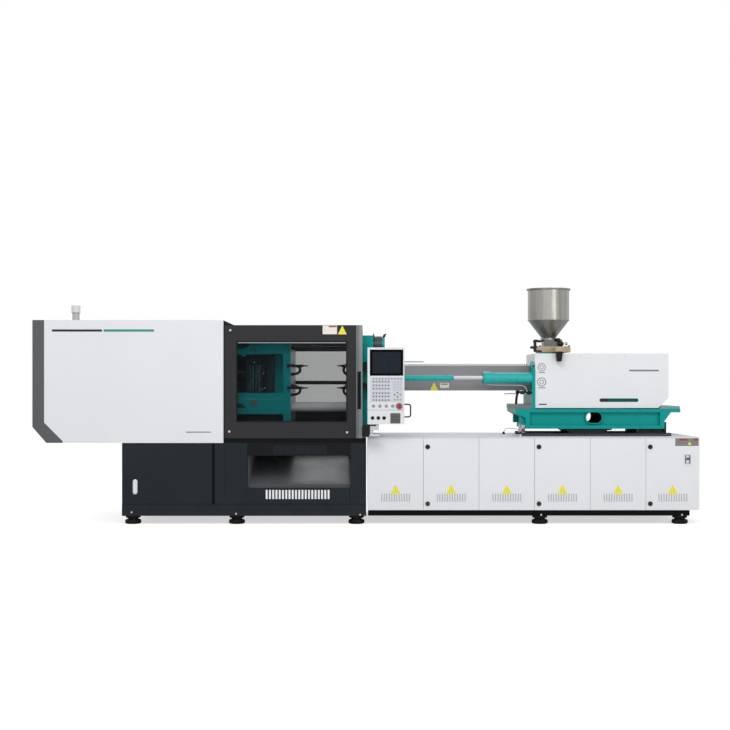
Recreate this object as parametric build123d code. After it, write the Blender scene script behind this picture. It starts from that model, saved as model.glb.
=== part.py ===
from build123d import *
from math import radians, tan
import os

# Two-platen hydraulic injection moulding machine, in millimetres.
# +X points from the clamp to the injection end, -Y is the operator's side, +Z is up.
# The origin lies on the floor under the middle of the machine's outline.

# Whole machine
guard_half_width = 900
clamp_end_x = -4406
machine_end_x = 4406
axis_z = 1958
sheet = 4
seat_gap = 0.3
running_gap = 0.05

# Levelling feet
pad_radius = 107
pad_edge = 26
foot_neck_radius = 40
foot_neck_z = 66
foot_nut_radius = 58
foot_sides = 16
base_bottom_z = 112
foot_inset = 120
clamp_foot_x = (-3099, -1719, -130)
injection_foot_x = (2307, 4169)

# Clamp base
clamp_base_x0 = -3227
clamp_base_x1 = 0
clamp_base_top_z = 1076
base_step = 20
base_half_width = guard_half_width - base_step
base_wall = 12
base_rim = 170
plinth_z = 264
plinth_step = 5
chute_x0 = -1560
chute_x1 = -207
chute_z0 = 486
chute_z1 = 907
drop_x0 = -1000
drop_x1 = -260
drop_half_width = 380
chute_lip = 60
chute_edge = 40
base_vent_x0 = -1327
base_vent_pitch = 43
base_vent_width = 25
base_vent_count = 20
base_vent_z0 = 334
base_vent_z1 = 455
base_seams_x = (-2016, -1869, -1574, -213)
seam_width = 6
seam_depth = 4
gauge_x0 = -3082
gauge_x1 = -3023
gauge_z0 = 397
gauge_z1 = 595
gauge_rise = 5

# Clamp guards
guard_top_z = 2699
guard_x1 = -1886
guard_flange = 26
end_trim_x1 = -4250
end_chamfer = 183
end_chamfer_height = 211
trim_corner_x = -4006
trim_corner_z = 1344
beacon_x = -3863
beacon_y_inset = 150
beacon_radius = 60
beacon_height = 199
beacon_step = 12

# Door frame and doors
sill_top_z = 1138
door_inset = 32
door_depth = 60
door_top_z = 2633
front_door_x0 = -1877
front_door_x1 = -49
window_x0 = -1708
window_x1 = -261
window_z0 = 1360
window_z1 = 2412
window_lap = 30
window_thickness = 8
rail_size = 60
rail_x0 = -3560
rail_height = 70
rail_bracket_x = (-200, -80)
rail_bracket_foot = 70
door_play = 4
rear_rib_half = 16
rear_rib_depth = 10
handle_x0 = -116
handle_x1 = -70
handle_z0 = 1527
handle_z1 = 2013
handle_depth = 22
handle_bar_width = 14
handle_bar_rise = 6

# Platens and tie bars
fixed_platen_x0 = -233
fixed_platen_x1 = 95
platen_half_width = 640
fixed_platen_z0 = 1291
platen_top_z = 2510
platen_chamfer = 120
platen_foot_inset = 30
side_pocket_depth = 70
side_pocket_end = 360
side_pocket_x = (90, 60)
tie_bar_half_y = 440
tie_bar_half_z = 417
tie_bar_radius = 58
tie_bar_x0 = -2900
moving_plate_x0 = -1112
moving_plate_x1 = -1012
moving_platen_z0 = 1349
moving_boss_x0 = -1760
moving_box_x0 = -1322
recess_z0 = 1733
recess_z1 = 2259
box_half_width = 270
box_lap = 50
boss_top_drop = 40
boss_low_rise = 103
boss_slope = 60
boss_step = 10
locating_radius = 100
locating_depth = 60
nozzle_bore_radius = 80
nozzle_cone_radius = 190
mould_bolt_radius = 12
mould_bolt_depth = 60
mould_bolt_pitch = 560
nut_length = 131
nut_half_height = 85
nut_width = 135
nut_travel = 30
nut_slack = 2
nut_pin_radius = 34
nut_pin_length = 60

# Clamp cylinders, bed rails and travel cylinders
clamp_cylinder_radius = 127
clamp_cylinder_x1 = 213
clamp_cap_radius = 112
clamp_cap_x1 = 250
bed_rail_half_y = 450
bed_rail_width = 120
bed_rail_top_z = 1130
bed_rail_x0 = -2700
bed_rail_x1 = -420
shoe_x0 = -1640
shoe_x1 = -1112
shoe_taper = 110
shoe_slope = 140
travel_cylinder_y = 570
travel_cylinder_z = 1215
travel_cylinder_half = 50
travel_rod_radius = 28
travel_cylinder_x0 = -2790
travel_cylinder_x1 = -1600
platen_travel = 480
lug_thickness = 60
lug_half = 45
travel_clamp_inset = (40, 120)
travel_clamp_length = 60
travel_cylinder_end = 30
travel_rod_spare = 60

# Cooling hoses
hose_radius = 13
hose_drop = 155
hose_inset = 60
hose_levels = (165, -110)
hose_gap = 1
moving_hose = (120, 230)
fixed_hose = (150, 180)

# Ejector
ejector_plate_thickness = 40
ejector_plate_x0 = -1560
ejector_rod_radius = 20
ejector_rod_y = 180
ejector_plate_half_y = 225
ejector_plate_half_z = 110
ejector_piston_radius = 28
ejector_flange_x1 = -1620
ejector_flange_thickness = 30
ejector_flange_half = 260
ejector_bridge = 30
ejector_cylinder_radius = 75
ejector_cylinder_length = 230
ejector_tip_inset = 10
ejector_piston_spare = 30

# Injection base
injection_base_x0 = 20
injection_base_top_z = 1151
sill_z = 185
sill_end_x = 4280
cabinet_bays = 3
cabinet_pitch = 735
door_gap = 4
cabinet_door_thickness = 24
cabinet_door_foot = 4
cabinet_door_head = 12
cabinet_door_edge = 22
bay_wall = 40
bay_head = 60
bay_back = 60
sill_inset_x = 4
sill_inset_y = 30
base_lip = 8
rear_seam_end = 20
louvre_slots = 12
louvre_width = 400
louvre_z0 = 300
louvre_z1 = 405
louvre_slot_width = 12
lock_radius = 27
lock_rise = 7
lock_inset = 55
lock_z = (273, 1024)
breaker_x0 = 4195
breaker_x1 = 4294
breaker_z0 = 785
breaker_z1 = 940
breaker_rise = 14
toggle_width = 44
toggle_height = 60
toggle_swing = 40
toggle_play = 3
toggle_drum = 8
toggle_reach = 30
toggle_thickness = 12

# Injection unit
injection_rail_x0 = 2110
injection_rail_x1 = 4130
injection_rail_y = 400
injection_rail_width = 110
injection_rail_top_z = 1190
slide_block_x0 = 3680
slide_block_length = 187
turntable_step_z = 1228
turntable_x0 = 2650
turntable_x1 = 3320
turntable_foot_inset = 120
turntable_edge = 6
turntable_half = 480
beam_z0 = 1251
beam_z1 = 1517
beam_x0 = 2147
beam_x1 = 4023
beam_half_width = 520
beam_flange = 45
beam_wall = 60
beam_hole_x = 3074
beam_hole_z = 1401
beam_hole_length = 210
beam_hole_height = 145
beam_hole_rear_x1 = 3265
beam_nose_x = 2010
beam_tail_drop = 163
beam_nose_drop = 120
beam_ring = 15
beam_ring_inset = 20
beam_post_from_nose = 75
beam_post_gap = 2
beam_post_z0 = 1313
beam_post_inset = 60
bracket_foot_x = 4109
bracket_x1 = 4235
barrel_plate_x0 = 2241
barrel_plate_x1 = 2282
barrel_plate_z1 = 2113
barrel_plate_half = 500
barrel_plate_chamfer = 60
bearer_x0 = 2002
bearer_height = 60
injection_cover_z0 = 1530
injection_cover_z1 = 2267
injection_cover_x1 = 4086
injection_cover_half = 480
injection_cover_chamfer = 140
cover_slot_x0 = 3152
cover_slot_x1 = 3680
cover_slot_z = 1636
cover_slot_height = 48

# Carriage cylinders
carriage_y = 430
carriage_z = 1936
carriage_rod_radius = 28
carriage_sleeve_radius = 39
carriage_sleeve_x1 = 1190
carriage_sleeve_cone = 50
carriage_gland_edge = 12
carriage_gland_radius = 83
carriage_gland_x0 = 1582
carriage_gland_x1 = 1688
carriage_cylinder_radius = 72
carriage_rod_inside = 300

# Purge guard over the nozzle
purge_length = 360
purge_half_width = 260
purge_top_z = 2290
purge_height = 500

# Barrel, screw and drive
barrel_x0 = 420
barrel_x1 = 2700
barrel_radius = 95
screw_radius = 50
screw_tip_length = 80
screw_tip_gap = 4
barrel_end = 60
feed_radius = 42
heater_radius = 118
heater_width = 420
heater_x = (580, 1100, 1620)
nozzle_tip_x = 170
nozzle_radius = 52
nozzle_tip_radius = 24
nozzle_cone = 70
barrel_cover_x0 = 480
barrel_cover_z0 = 1765
barrel_cover_z1 = 2098
barrel_cover_half = 190
barrel_cover_slots = 36
barrel_cover_slot_pitch = 46
barrel_cover_slot_length = 26
barrel_cover_chamfer = 40
barrel_cover_slot_inset = 6
barrel_cover_slot_top = 14
throat_x0 = 2380
throat_x1 = 2720
throat_half = 190
thrust_plate_x0 = 3160
thrust_plate_thickness = 120
thrust_plate_half_y = 400
thrust_plate_half_z = 180
injection_cylinder_y = 300
injection_cylinder_half = 85
injection_piston_radius = 38
injection_stroke = 380
injection_piston_spare = 120
injection_cylinder_end = 40
injection_cylinder_gap = 20
motor_radius = 150
motor_length = 300

# Hopper
hopper_x = 2529
hopper_plate_x0 = 2371
hopper_plate_x1 = 2805
hopper_plate_z0 = 2292
hopper_plate_z1 = 2371
hopper_plate_half = 200
gate_block_x0 = 2450
gate_block_x1 = 2700
gate_block_z1 = 2470
gate_block_half = 125
gate_thickness = 14
gate_width = 140
gate_rise = 40
gate_grip = 60
gate_knob_radius = 22
gate_knob_length = 30
hopper_neck_radius = 80
hopper_radius = 285
hopper_rim_radius = 303
hopper_cone_top_z = 2739
hopper_top_z = 3173
hopper_wall = 4
spout_x0 = 2549
spout_x1 = 2643
spout_z0 = 2158
spout_gap = 30
spout_width = 80
spout_taper = 18
spout_arm_height = 60
hopper_rim_height = 10

# Sensor cable that arches between two glands on top of the injection base
cable_radius = 4
cable_inset = 240
cable_x0 = 1838
cable_x1 = 2062
gland_radius = 11
gland_height = 34
cable_rise = ((0, 45), (45, 82), (150, 72), (224, 54))

# Operator panel
panel_x0 = 16
panel_x1 = 497
panel_z0 = 1331
panel_z1 = 2329
panel_standoff = 150
panel_depth = 100
pivot_x = 60
pivot_radius = 32
pivot_plate = 30
pivot_plate_z0 = 1172
pivot_plate_x = (-30, 170)
pivot_plate_lap = 40
pivot_upright = 20
screen_x0 = 48
screen_x1 = 480
screen_depth = 6
screen_rise = 2
panel_corner = 6
screen_z0 = 1963
screen_z1 = 2300
button_x = (94, 178, 261, 345)
button_z = 1567
button_radius = 14
button_rise = 12
button_travel = 4
button_stem_half = 7
stem_gap = 0.3
stem_depth = 24
stop_x = 430
stop_radius = 32
stop_stem_half = 12
stop_rise = 40
stop_travel = 8
stop_cap = 20
stop_edge = 6
panel_handle_x = 588
panel_handle_z0 = 1416
panel_handle_z1 = 1598
panel_handle_radius = 9
socket_x = (82, 158, 232)
socket_z = 1412
socket_radius = 16
socket_rise = 8
handle_bend = 30

# Places worked out from the sizes above
front_reach = guard_half_width + panel_standoff + panel_depth + stop_rise
axis_y = (front_reach - guard_half_width) / 2
front_y = axis_y - guard_half_width
rear_y = axis_y + guard_half_width
base_front_y = axis_y - base_half_width
base_rear_y = axis_y + base_half_width
door_front_y = front_y + door_inset
door_back_y = door_front_y + door_depth
panel_back_y = front_y - panel_standoff
panel_front_y = panel_back_y - panel_depth
tie_bar_places = [
    (axis_y + side * tie_bar_half_y, axis_z + level * tie_bar_half_z)
    for side in (-1, 1)
    for level in (-1, 1)
]


def rect(a0, a1, b0, b1):
    return Pos((a0 + a1) / 2, (b0 + b1) / 2) * Rectangle(a1 - a0, b1 - b0)


def shape(*points):
    return make_face(Polyline(*points, close=True))


def along_x(sketch, x0, x1):
    return extrude(Plane.YZ.offset(x0) * sketch, amount=x1 - x0)


def along_y(sketch, y0, y1):
    return extrude(Plane.XZ.offset(-y0) * sketch, amount=y1 - y0, dir=(0, 1, 0))


def along_z(sketch, z0, z1):
    return extrude(Plane.XY.offset(z0) * sketch, amount=z1 - z0)


def block(x0, x1, y0, y1, z0, z1):
    return along_z(rect(x0, x1, y0, y1), z0, z1)


def rod_x(x0, x1, y, z, radius):
    return along_x(Pos(y, z) * Circle(radius), x0, x1)


def rod_y(y0, y1, x, z, radius):
    return along_y(Pos(x, z) * Circle(radius), y0, y1)


def rod_z(z0, z1, x, y, radius):
    return along_z(Pos(x, y) * Circle(radius), z0, z1)


def mirror_y(solid):
    return mirror(solid, about=Plane.XZ.offset(-axis_y))


def both_sides(solid):
    return [solid, mirror_y(solid)]


def save(name, *solids):
    found = [piece for solid in solids for piece in solid.solids()]
    export_step(Compound(children=found), f"parts/{name}.step")


def turned(points, x, y):
    """A body of revolution about the vertical line through (x, y)."""
    return Pos(x, y, 0) * revolve(Plane.XZ * shape(*points), axis=Axis.Z)


def turned_x(points, y, z):
    """A body of revolution about the line along X through (y, z), from (x, radius) points."""
    return Pos(0, y, z) * revolve(Plane.XZ * shape(*points), axis=Axis.X)


# Levelling feet
def make_feet():
    rim = RegularPolygon(pad_radius, foot_sides)
    neck = RegularPolygon(foot_neck_radius, foot_sides)
    pad = along_z(rim, 0, pad_edge)
    pad += loft([Plane.XY.offset(pad_edge) * rim, Plane.XY.offset(foot_neck_z) * neck])
    nut = along_z(RegularPolygon(foot_nut_radius, 6), foot_neck_z, base_bottom_z)
    feet = []
    for x in clamp_foot_x + injection_foot_x:
        for side in (-1, 1):
            y = axis_y + side * (base_half_width - foot_inset)
            feet.append(Pos(x, y) * pad)
            feet.append(Pos(x, y) * nut)
    return feet


# Clamp base
def make_clamp_base():
    width = (base_front_y, base_rear_y)
    body = block(clamp_base_x0, clamp_base_x1, *width, base_bottom_z, clamp_base_top_z)
    body += block(
        clamp_base_x0,
        clamp_base_x1,
        base_front_y - plinth_step,
        base_rear_y + plinth_step,
        base_bottom_z,
        plinth_z,
    )
    sill = block(
        clamp_base_x0,
        clamp_base_x1 - seam_width,
        door_front_y,
        door_back_y,
        clamp_base_top_z,
        sill_top_z,
    )
    body = body + sill + mirror_y(sill)
    inner_y = (base_front_y + base_wall, base_rear_y - base_wall)
    rim_y = (base_front_y + base_rim, base_rear_y - base_rim)
    rim_top = base_bottom_z + base_wall
    tank = (clamp_base_x0 + base_wall, chute_x0 - base_wall)
    body -= block(*tank, *inner_y, rim_top, clamp_base_top_z - base_wall)
    body -= block(tank[0] + base_rim, tank[1], *rim_y, base_bottom_z, rim_top)
    under = (chute_x0, clamp_base_x1 - base_wall)
    body -= block(*under, *inner_y, rim_top, chute_z0 - base_wall)
    body -= block(under[0], under[1] - base_rim, *rim_y, base_bottom_z, rim_top)
    body -= block(
        chute_x0,
        chute_x1,
        base_front_y - seam_width,
        base_rear_y + seam_width,
        chute_z0,
        chute_z1,
    )
    body -= block(
        drop_x0,
        drop_x1,
        axis_y - drop_half_width,
        axis_y + drop_half_width,
        chute_z1 - base_wall,
        clamp_base_top_z + base_wall,
    )
    for count in range(base_vent_count):
        x = base_vent_x0 + count * base_vent_pitch
        vent = block(
            x,
            x + base_vent_width,
            base_front_y - seam_width,
            base_front_y + base_wall + seam_width,
            base_vent_z0,
            base_vent_z1,
        )
        body -= vent
    for x in base_seams_x:
        low = chute_z1 if x > chute_x0 else plinth_z
        seam = block(
            x,
            x + seam_width,
            base_front_y - seam_depth,
            base_front_y + seam_depth,
            low,
            clamp_base_top_z,
        )
        body = body - seam - mirror_y(seam)
    gauge = along_y(
        Pos((gauge_x0 + gauge_x1) / 2, (gauge_z0 + gauge_z1) / 2)
        * Rot(0, 0, 90)
        * SlotOverall(gauge_z1 - gauge_z0, gauge_x1 - gauge_x0),
        base_front_y - gauge_rise,
        base_front_y,
    )
    return body + gauge


# Sloping sheet that brings the mouldings out on the operator's side
def make_drop_chute():
    top_z = chute_z1 - base_wall - seat_gap
    low_y = base_front_y + chute_lip
    low_z = chute_z0 + chute_edge
    high_y = axis_y + drop_half_width
    end_y = high_y + chute_lip
    run = shape(
        (low_y, chute_z0 + seat_gap),
        (low_y, low_z),
        (high_y, top_z),
        (end_y, top_z),
        (end_y, top_z - sheet),
        (high_y, top_z - sheet),
        (low_y + sheet, low_z - sheet),
        (low_y + sheet, chute_z0 + seat_gap),
    )
    tray = along_x(run, chute_x0 + seat_gap, chute_x1 - seat_gap)
    leg = block(
        chute_x0 + seat_gap,
        chute_x1 - seat_gap,
        end_y - sheet,
        end_y,
        chute_z0,
        top_z - sheet,
    )
    return tray + leg


# Guards over the clamp
def guard_outline():
    return shape(
        (end_trim_x1, guard_top_z),
        (guard_x1, guard_top_z),
        (guard_x1, clamp_base_top_z),
        (trim_corner_x, clamp_base_top_z),
        (trim_corner_x, trim_corner_z - (trim_corner_x - end_trim_x1)),
        (end_trim_x1, trim_corner_z),
    )


def make_front_guard():
    outline = guard_outline()
    pan = along_y(outline, front_y, front_y + guard_flange)
    inside = offset(outline, amount=-sheet, kind=Kind.INTERSECTION)
    pan -= along_y(inside, front_y + sheet, front_y + guard_flange)
    return pan


def make_rear_guard():
    roof = block(
        end_trim_x1,
        guard_x1,
        front_y + guard_flange,
        rear_y - guard_flange,
        guard_top_z - sheet,
        guard_top_z,
    )
    return mirror_y(make_front_guard()) + roof


def make_end_guard():
    outer = shape(
        (end_trim_x1, guard_top_z),
        (clamp_end_x, guard_top_z),
        (clamp_end_x, clamp_base_top_z + end_chamfer_height),
        (clamp_end_x + end_chamfer, clamp_base_top_z),
        (trim_corner_x, clamp_base_top_z),
        (trim_corner_x, trim_corner_z - (trim_corner_x - end_trim_x1)),
        (end_trim_x1, trim_corner_z),
    )
    cap = along_y(outer, front_y, rear_y)
    inner = shape(
        (end_trim_x1 + sheet, guard_top_z - sheet),
        (clamp_end_x + sheet, guard_top_z - sheet),
        (clamp_end_x + sheet, clamp_base_top_z + end_chamfer_height + sheet / 2),
        (clamp_end_x + end_chamfer + sheet / 2, clamp_base_top_z + sheet),
        (trim_corner_x + sheet, clamp_base_top_z + sheet),
        (trim_corner_x + sheet, trim_corner_z),
        (end_trim_x1 + sheet, trim_corner_z + sheet),
    )
    cap -= along_y(inner, front_y + sheet, rear_y - sheet)
    floor = block(
        trim_corner_x,
        clamp_base_x0,
        front_y + guard_flange + seat_gap,
        rear_y - guard_flange - seat_gap,
        clamp_base_top_z,
        clamp_base_top_z + sheet,
    )
    return cap + floor


def make_beacon():
    y = front_y + beacon_y_inset
    top = guard_top_z + beacon_height
    middle = guard_top_z + beacon_height / 2
    profile = (
        (0, guard_top_z),
        (beacon_radius - beacon_step, guard_top_z),
        (beacon_radius - beacon_step, middle),
        (beacon_radius, middle),
        (beacon_radius, top),
        (0, top),
    )
    return turned(profile, beacon_x, y)


# Door frame: posts, upper rails and the cross beams that tie both sides together
def make_door_frame():
    y0 = door_back_y + door_play
    y1 = y0 + rail_size
    rail_z0 = door_top_z - rail_height
    rail = block(rail_x0, front_door_x1, y0, y1, rail_z0, door_top_z)
    foot_y1 = axis_y - platen_half_width + platen_chamfer + rail_bracket_foot
    leg_y0 = foot_y1 - rail_bracket_foot
    bracket = block(*rail_bracket_x, y1, foot_y1, rail_z0, door_top_z)
    bracket += block(*rail_bracket_x, leg_y0, foot_y1, platen_top_z, rail_z0)
    left_post_x0 = front_door_x0 - rail_size
    left_post = block(
        left_post_x0, front_door_x0, y0, y1, clamp_base_top_z, door_top_z - rail_height
    )
    end_post = block(
        clamp_base_x0,
        clamp_base_x0 + rail_size,
        y0,
        y1,
        clamp_base_top_z,
        door_top_z - rail_height,
    )
    side = rail + bracket + left_post + end_post
    cross_y = (y1, 2 * axis_y - y1)
    cross_z = (door_top_z - rail_height, door_top_z)
    left_cross = block(left_post_x0, front_door_x0, *cross_y, *cross_z)
    end_cross = block(clamp_base_x0, clamp_base_x0 + rail_size, *cross_y, *cross_z)
    return side + mirror_y(side) + left_cross + end_cross


def door_leaf():
    frame = along_y(
        rect(front_door_x0, front_door_x1, sill_top_z + seat_gap, door_top_z),
        door_front_y,
        door_back_y,
    )
    frame -= along_y(
        rect(window_x0, window_x1, window_z0, window_z1), door_front_y, door_back_y
    )
    return frame


def make_front_door():
    door = door_leaf()
    lap = window_lap
    rebate_y = door_front_y + door_depth / 2
    door -= along_y(
        rect(window_x0 - lap, window_x1 + lap, window_z0 - lap, window_z1 + lap),
        rebate_y,
        door_back_y,
    )
    pocket = block(
        handle_x0,
        handle_x1,
        door_front_y,
        door_front_y + handle_depth,
        handle_z0,
        handle_z1,
    )
    return door - pocket


def make_front_window():
    lap = window_lap - 1
    rebate_y = door_front_y + door_depth / 2
    pane = rect(window_x0 - lap, window_x1 + lap, window_z0 - lap, window_z1 + lap)
    return along_y(pane, rebate_y, rebate_y + window_thickness)


def make_handle():
    bar = block(
        handle_x0 + seat_gap,
        handle_x0 + handle_bar_width,
        door_front_y - handle_bar_rise,
        door_front_y + handle_depth,
        handle_z0 + seat_gap,
        handle_z1 - seat_gap,
    )
    return bar


def make_rear_door():
    frame = mirror_y(door_leaf())
    y0 = 2 * axis_y - (door_front_y + door_depth / 2)
    panel = along_y(rect(window_x0, window_x1, window_z0, window_z1), y0, y0 + sheet)
    rib_z = (window_z0 + window_z1) / 2
    rib_half = rear_rib_half
    rib = block(
        window_x0, window_x1, y0 - rear_rib_depth, y0, rib_z - rib_half, rib_z + rib_half
    )
    return frame + panel + rib


# Platens
def platen_outline(low_z):
    half = platen_half_width
    face = shape(
        (axis_y - half, low_z),
        (axis_y - half, platen_top_z - platen_chamfer),
        (axis_y - half + platen_chamfer, platen_top_z),
        (axis_y + half - platen_chamfer, platen_top_z),
        (axis_y + half, platen_top_z - platen_chamfer),
        (axis_y + half, low_z),
    )
    return face


def mould_bolt_holes(x0, x1):
    reach = mould_bolt_pitch / 2
    places = [
        (axis_y + side * reach, axis_z + level * reach)
        for side in (-1, 1)
        for level in (-1, 1)
    ]
    return [rod_x(x0, x1, y, z, mould_bolt_radius) for y, z in places]


def make_fixed_platen():
    x0 = fixed_platen_x0
    x1 = fixed_platen_x1
    platen = along_x(platen_outline(fixed_platen_z0), x0, x1)
    foot = block(
        x0 + platen_foot_inset,
        clamp_base_x1,
        axis_y - bed_rail_half_y - bed_rail_width / 2,
        axis_y - bed_rail_half_y + bed_rail_width / 2,
        clamp_base_top_z,
        fixed_platen_z0,
    )
    platen = platen + foot + mirror_y(foot)
    for y, z in tie_bar_places:
        platen -= rod_x(x0, x1, y, z, tie_bar_radius)
    nozzle_way = (
        (x0, 0),
        (x0, locating_radius),
        (x0 + locating_depth, locating_radius),
        (x0 + locating_depth, nozzle_bore_radius),
        (x0 + 2 * locating_depth, nozzle_bore_radius),
        (x1, nozzle_cone_radius),
        (x1, 0),
    )
    platen -= turned_x(nozzle_way, axis_y, axis_z)
    for hole in mould_bolt_holes(x0, x0 + mould_bolt_depth):
        platen -= hole
    y = axis_y - platen_half_width
    pocket = block(
        x0 + side_pocket_x[0],
        x1 - side_pocket_x[1],
        y,
        y + side_pocket_depth,
        fixed_platen_z0 + side_pocket_end,
        platen_top_z - side_pocket_end,
    )
    return platen - pocket - mirror_y(pocket)


def make_moving_platen():
    plate = along_x(
        platen_outline(moving_platen_z0), moving_plate_x0, moving_plate_x1
    )
    boss_in_y = axis_y - box_half_width
    boss_out_y = axis_y - platen_half_width
    upper = (
        (moving_plate_x0, recess_z1),
        (moving_boss_x0 + boss_slope, recess_z1),
        (moving_boss_x0, recess_z1 - boss_step),
        (moving_boss_x0, platen_top_z - boss_top_drop),
        (moving_plate_x0, platen_top_z - boss_top_drop),
    )
    lower = (
        (moving_plate_x0, moving_platen_z0 + boss_low_rise),
        (moving_boss_x0, moving_platen_z0 + boss_low_rise),
        (moving_boss_x0, recess_z0),
        (moving_plate_x0, recess_z0),
    )
    corners = along_y(shape(*upper), boss_out_y, boss_in_y)
    corners += along_y(shape(*lower), boss_out_y, boss_in_y)
    box = along_y(
        rect(moving_box_x0, moving_plate_x0, recess_z0 - box_lap, recess_z1 + box_lap),
        axis_y - box_half_width,
        axis_y + box_half_width,
    )
    platen = plate + corners + mirror_y(corners) + box
    for side in (-1, 1):
        middle = axis_y + side * travel_cylinder_y
        lug = block(
            moving_plate_x0,
            moving_plate_x0 + lug_thickness,
            middle - lug_half,
            middle + lug_half,
            travel_cylinder_z - lug_half,
            moving_platen_z0,
        )
        platen += lug
    for y, z in tie_bar_places:
        platen -= rod_x(
            moving_boss_x0, moving_plate_x1, y, z, tie_bar_radius + running_gap
        )
    for hole in mould_bolt_holes(moving_plate_x1 - mould_bolt_depth, moving_plate_x1):
        platen -= hole
    for y, z in ejector_rod_places():
        platen -= rod_x(
            moving_box_x0, moving_plate_x1, y, z, ejector_rod_radius + running_gap
        )
    return platen


# Tie bars and the halves of the nuts that close round them behind the moving platen
def make_tie_bars():
    bar_x1 = fixed_platen_x1
    return [rod_x(tie_bar_x0, bar_x1, y, z, tie_bar_radius) for y, z in tie_bar_places]


def nut_half(y, z):
    """The half-nut on the operator's side of one tie bar, drawn open."""
    split_y = y - nut_slack / 2
    nut_x0 = moving_boss_x0 - seat_gap - nut_length
    body = block(
        nut_x0,
        moving_boss_x0 - seat_gap,
        split_y - nut_width,
        split_y,
        z - nut_half_height,
        z + nut_half_height,
    )
    body = chamfer(
        body.edges().filter_by(Axis.X).group_by(Axis.Y)[0], nut_half_height / 3
    )
    body -= rod_x(nut_x0, moving_boss_x0, y, z, tie_bar_radius + nut_slack)
    pin = along_y(
        Pos((nut_x0 + moving_boss_x0) / 2, z) * RegularPolygon(nut_pin_radius, 8),
        split_y - nut_width - nut_pin_length,
        split_y - nut_width,
    )
    return Pos(0, -nut_travel, 0) * (body + pin)


def make_front_nuts():
    return [nut_half(y, z) for y, z in tie_bar_places]


def make_rear_nuts():
    return [mirror_y(nut) for nut in make_front_nuts()]


def make_clamp_cylinders():
    cylinders = []
    for y, z in tie_bar_places:
        body = rod_x(fixed_platen_x1, clamp_cylinder_x1, y, z, clamp_cylinder_radius)
        cap = rod_x(clamp_cylinder_x1, clamp_cap_x1, y, z, clamp_cap_radius)
        cylinders.append(body + cap)
    return cylinders


def make_bed_rails():
    y = axis_y - bed_rail_half_y
    rail = block(
        bed_rail_x0,
        bed_rail_x1,
        y - bed_rail_width / 2,
        y + bed_rail_width / 2,
        clamp_base_top_z,
        bed_rail_top_z,
    )
    return both_sides(rail)


def make_shoes():
    top_z = moving_platen_z0 + boss_low_rise
    outline = shape(
        (shoe_x0, bed_rail_top_z + seat_gap),
        (shoe_x1, bed_rail_top_z + seat_gap),
        (shoe_x1, top_z),
        (shoe_x0 + shoe_slope, top_z),
        (shoe_x0, top_z - shoe_taper),
    )
    y = axis_y - bed_rail_half_y
    return both_sides(along_y(outline, y - bed_rail_width / 2, y + bed_rail_width / 2))


def make_travel_cylinders():
    y = axis_y - travel_cylinder_y
    z = travel_cylinder_z
    half = travel_cylinder_half
    ends = (travel_cylinder_x0, travel_cylinder_x1)
    barrel = block(*ends, y - half, y + half, z - half, z + half)
    front, back = travel_clamp_inset
    for x in (travel_cylinder_x0 + front, travel_cylinder_x1 - back):
        x1 = x + travel_clamp_length
        barrel += block(x, x1, y - half, y + half, clamp_base_top_z, z - half)
    barrel -= rod_x(
        travel_cylinder_x0 + travel_cylinder_end,
        travel_cylinder_x1,
        y,
        z,
        travel_rod_radius + running_gap,
    )
    return both_sides(barrel)


def make_travel_rods():
    y = axis_y - travel_cylinder_y
    rod = rod_x(
        travel_cylinder_x1 - platen_travel - travel_rod_spare,
        moving_plate_x0,
        y,
        travel_cylinder_z,
        travel_rod_radius,
    )
    return both_sides(rod)


# Ejector
def ejector_rod_places():
    return [(axis_y + side * ejector_rod_y, axis_z) for side in (-1, 1)]


def make_ejector():
    plate_x1 = ejector_plate_x0 + ejector_plate_thickness
    plate = block(
        ejector_plate_x0,
        plate_x1,
        axis_y - ejector_plate_half_y,
        axis_y + ejector_plate_half_y,
        axis_z - ejector_plate_half_z,
        axis_z + ejector_plate_half_z,
    )
    tip_x = moving_plate_x1 - ejector_tip_inset
    for y, z in ejector_rod_places():
        plate += rod_x(plate_x1, tip_x, y, z, ejector_rod_radius)
    piston_x0 = ejector_flange_x1 - ejector_flange_thickness - ejector_piston_spare
    plate += rod_x(piston_x0, ejector_plate_x0, axis_y, axis_z, ejector_piston_radius)
    return plate


def make_ejector_cylinder():
    flange_x0 = ejector_flange_x1 - ejector_flange_thickness
    half = ejector_flange_half
    levels = (axis_z - ejector_plate_half_z, axis_z + ejector_plate_half_z)
    bridge = block(flange_x0, moving_box_x0, axis_y - half, axis_y + half, *levels)
    bridge -= block(
        ejector_flange_x1,
        moving_box_x0,
        axis_y - half + ejector_bridge,
        axis_y + half - ejector_bridge,
        *levels,
    )
    bridge += rod_x(
        flange_x0 - ejector_cylinder_length,
        flange_x0,
        axis_y,
        axis_z,
        ejector_cylinder_radius,
    )
    bridge -= rod_x(
        flange_x0 - ejector_cylinder_length + ejector_piston_spare,
        ejector_flange_x1,
        axis_y,
        axis_z,
        ejector_piston_radius + running_gap,
    )
    return bridge


# Cooling hoses on the platen faces: a straight stub and a D-shaped loop below it
def hose_loop(face_x, way, top_z, reach, stub):
    y = axis_y - platen_half_width + hose_inset
    thick = 2 * hose_radius
    outer = SlotOverall(2 * reach, hose_drop)
    inner = SlotOverall(2 * reach - 2 * thick, hose_drop - 2 * thick)
    half_plane = Pos(way * reach, 0) * Rectangle(2 * reach, 2 * hose_drop)
    band = (outer - inner) & half_plane
    middle_z = top_z - hose_drop / 2
    stub_y = y + way * (2 * hose_radius + hose_gap)
    loop = along_y(Pos(face_x, middle_z) * band, y - hose_radius, y + hose_radius)
    bar = block(
        min(face_x, face_x + way * stub),
        max(face_x, face_x + way * stub),
        stub_y - hose_radius,
        stub_y + hose_radius,
        top_z - thick,
        top_z,
    )
    return [loop, bar]


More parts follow.
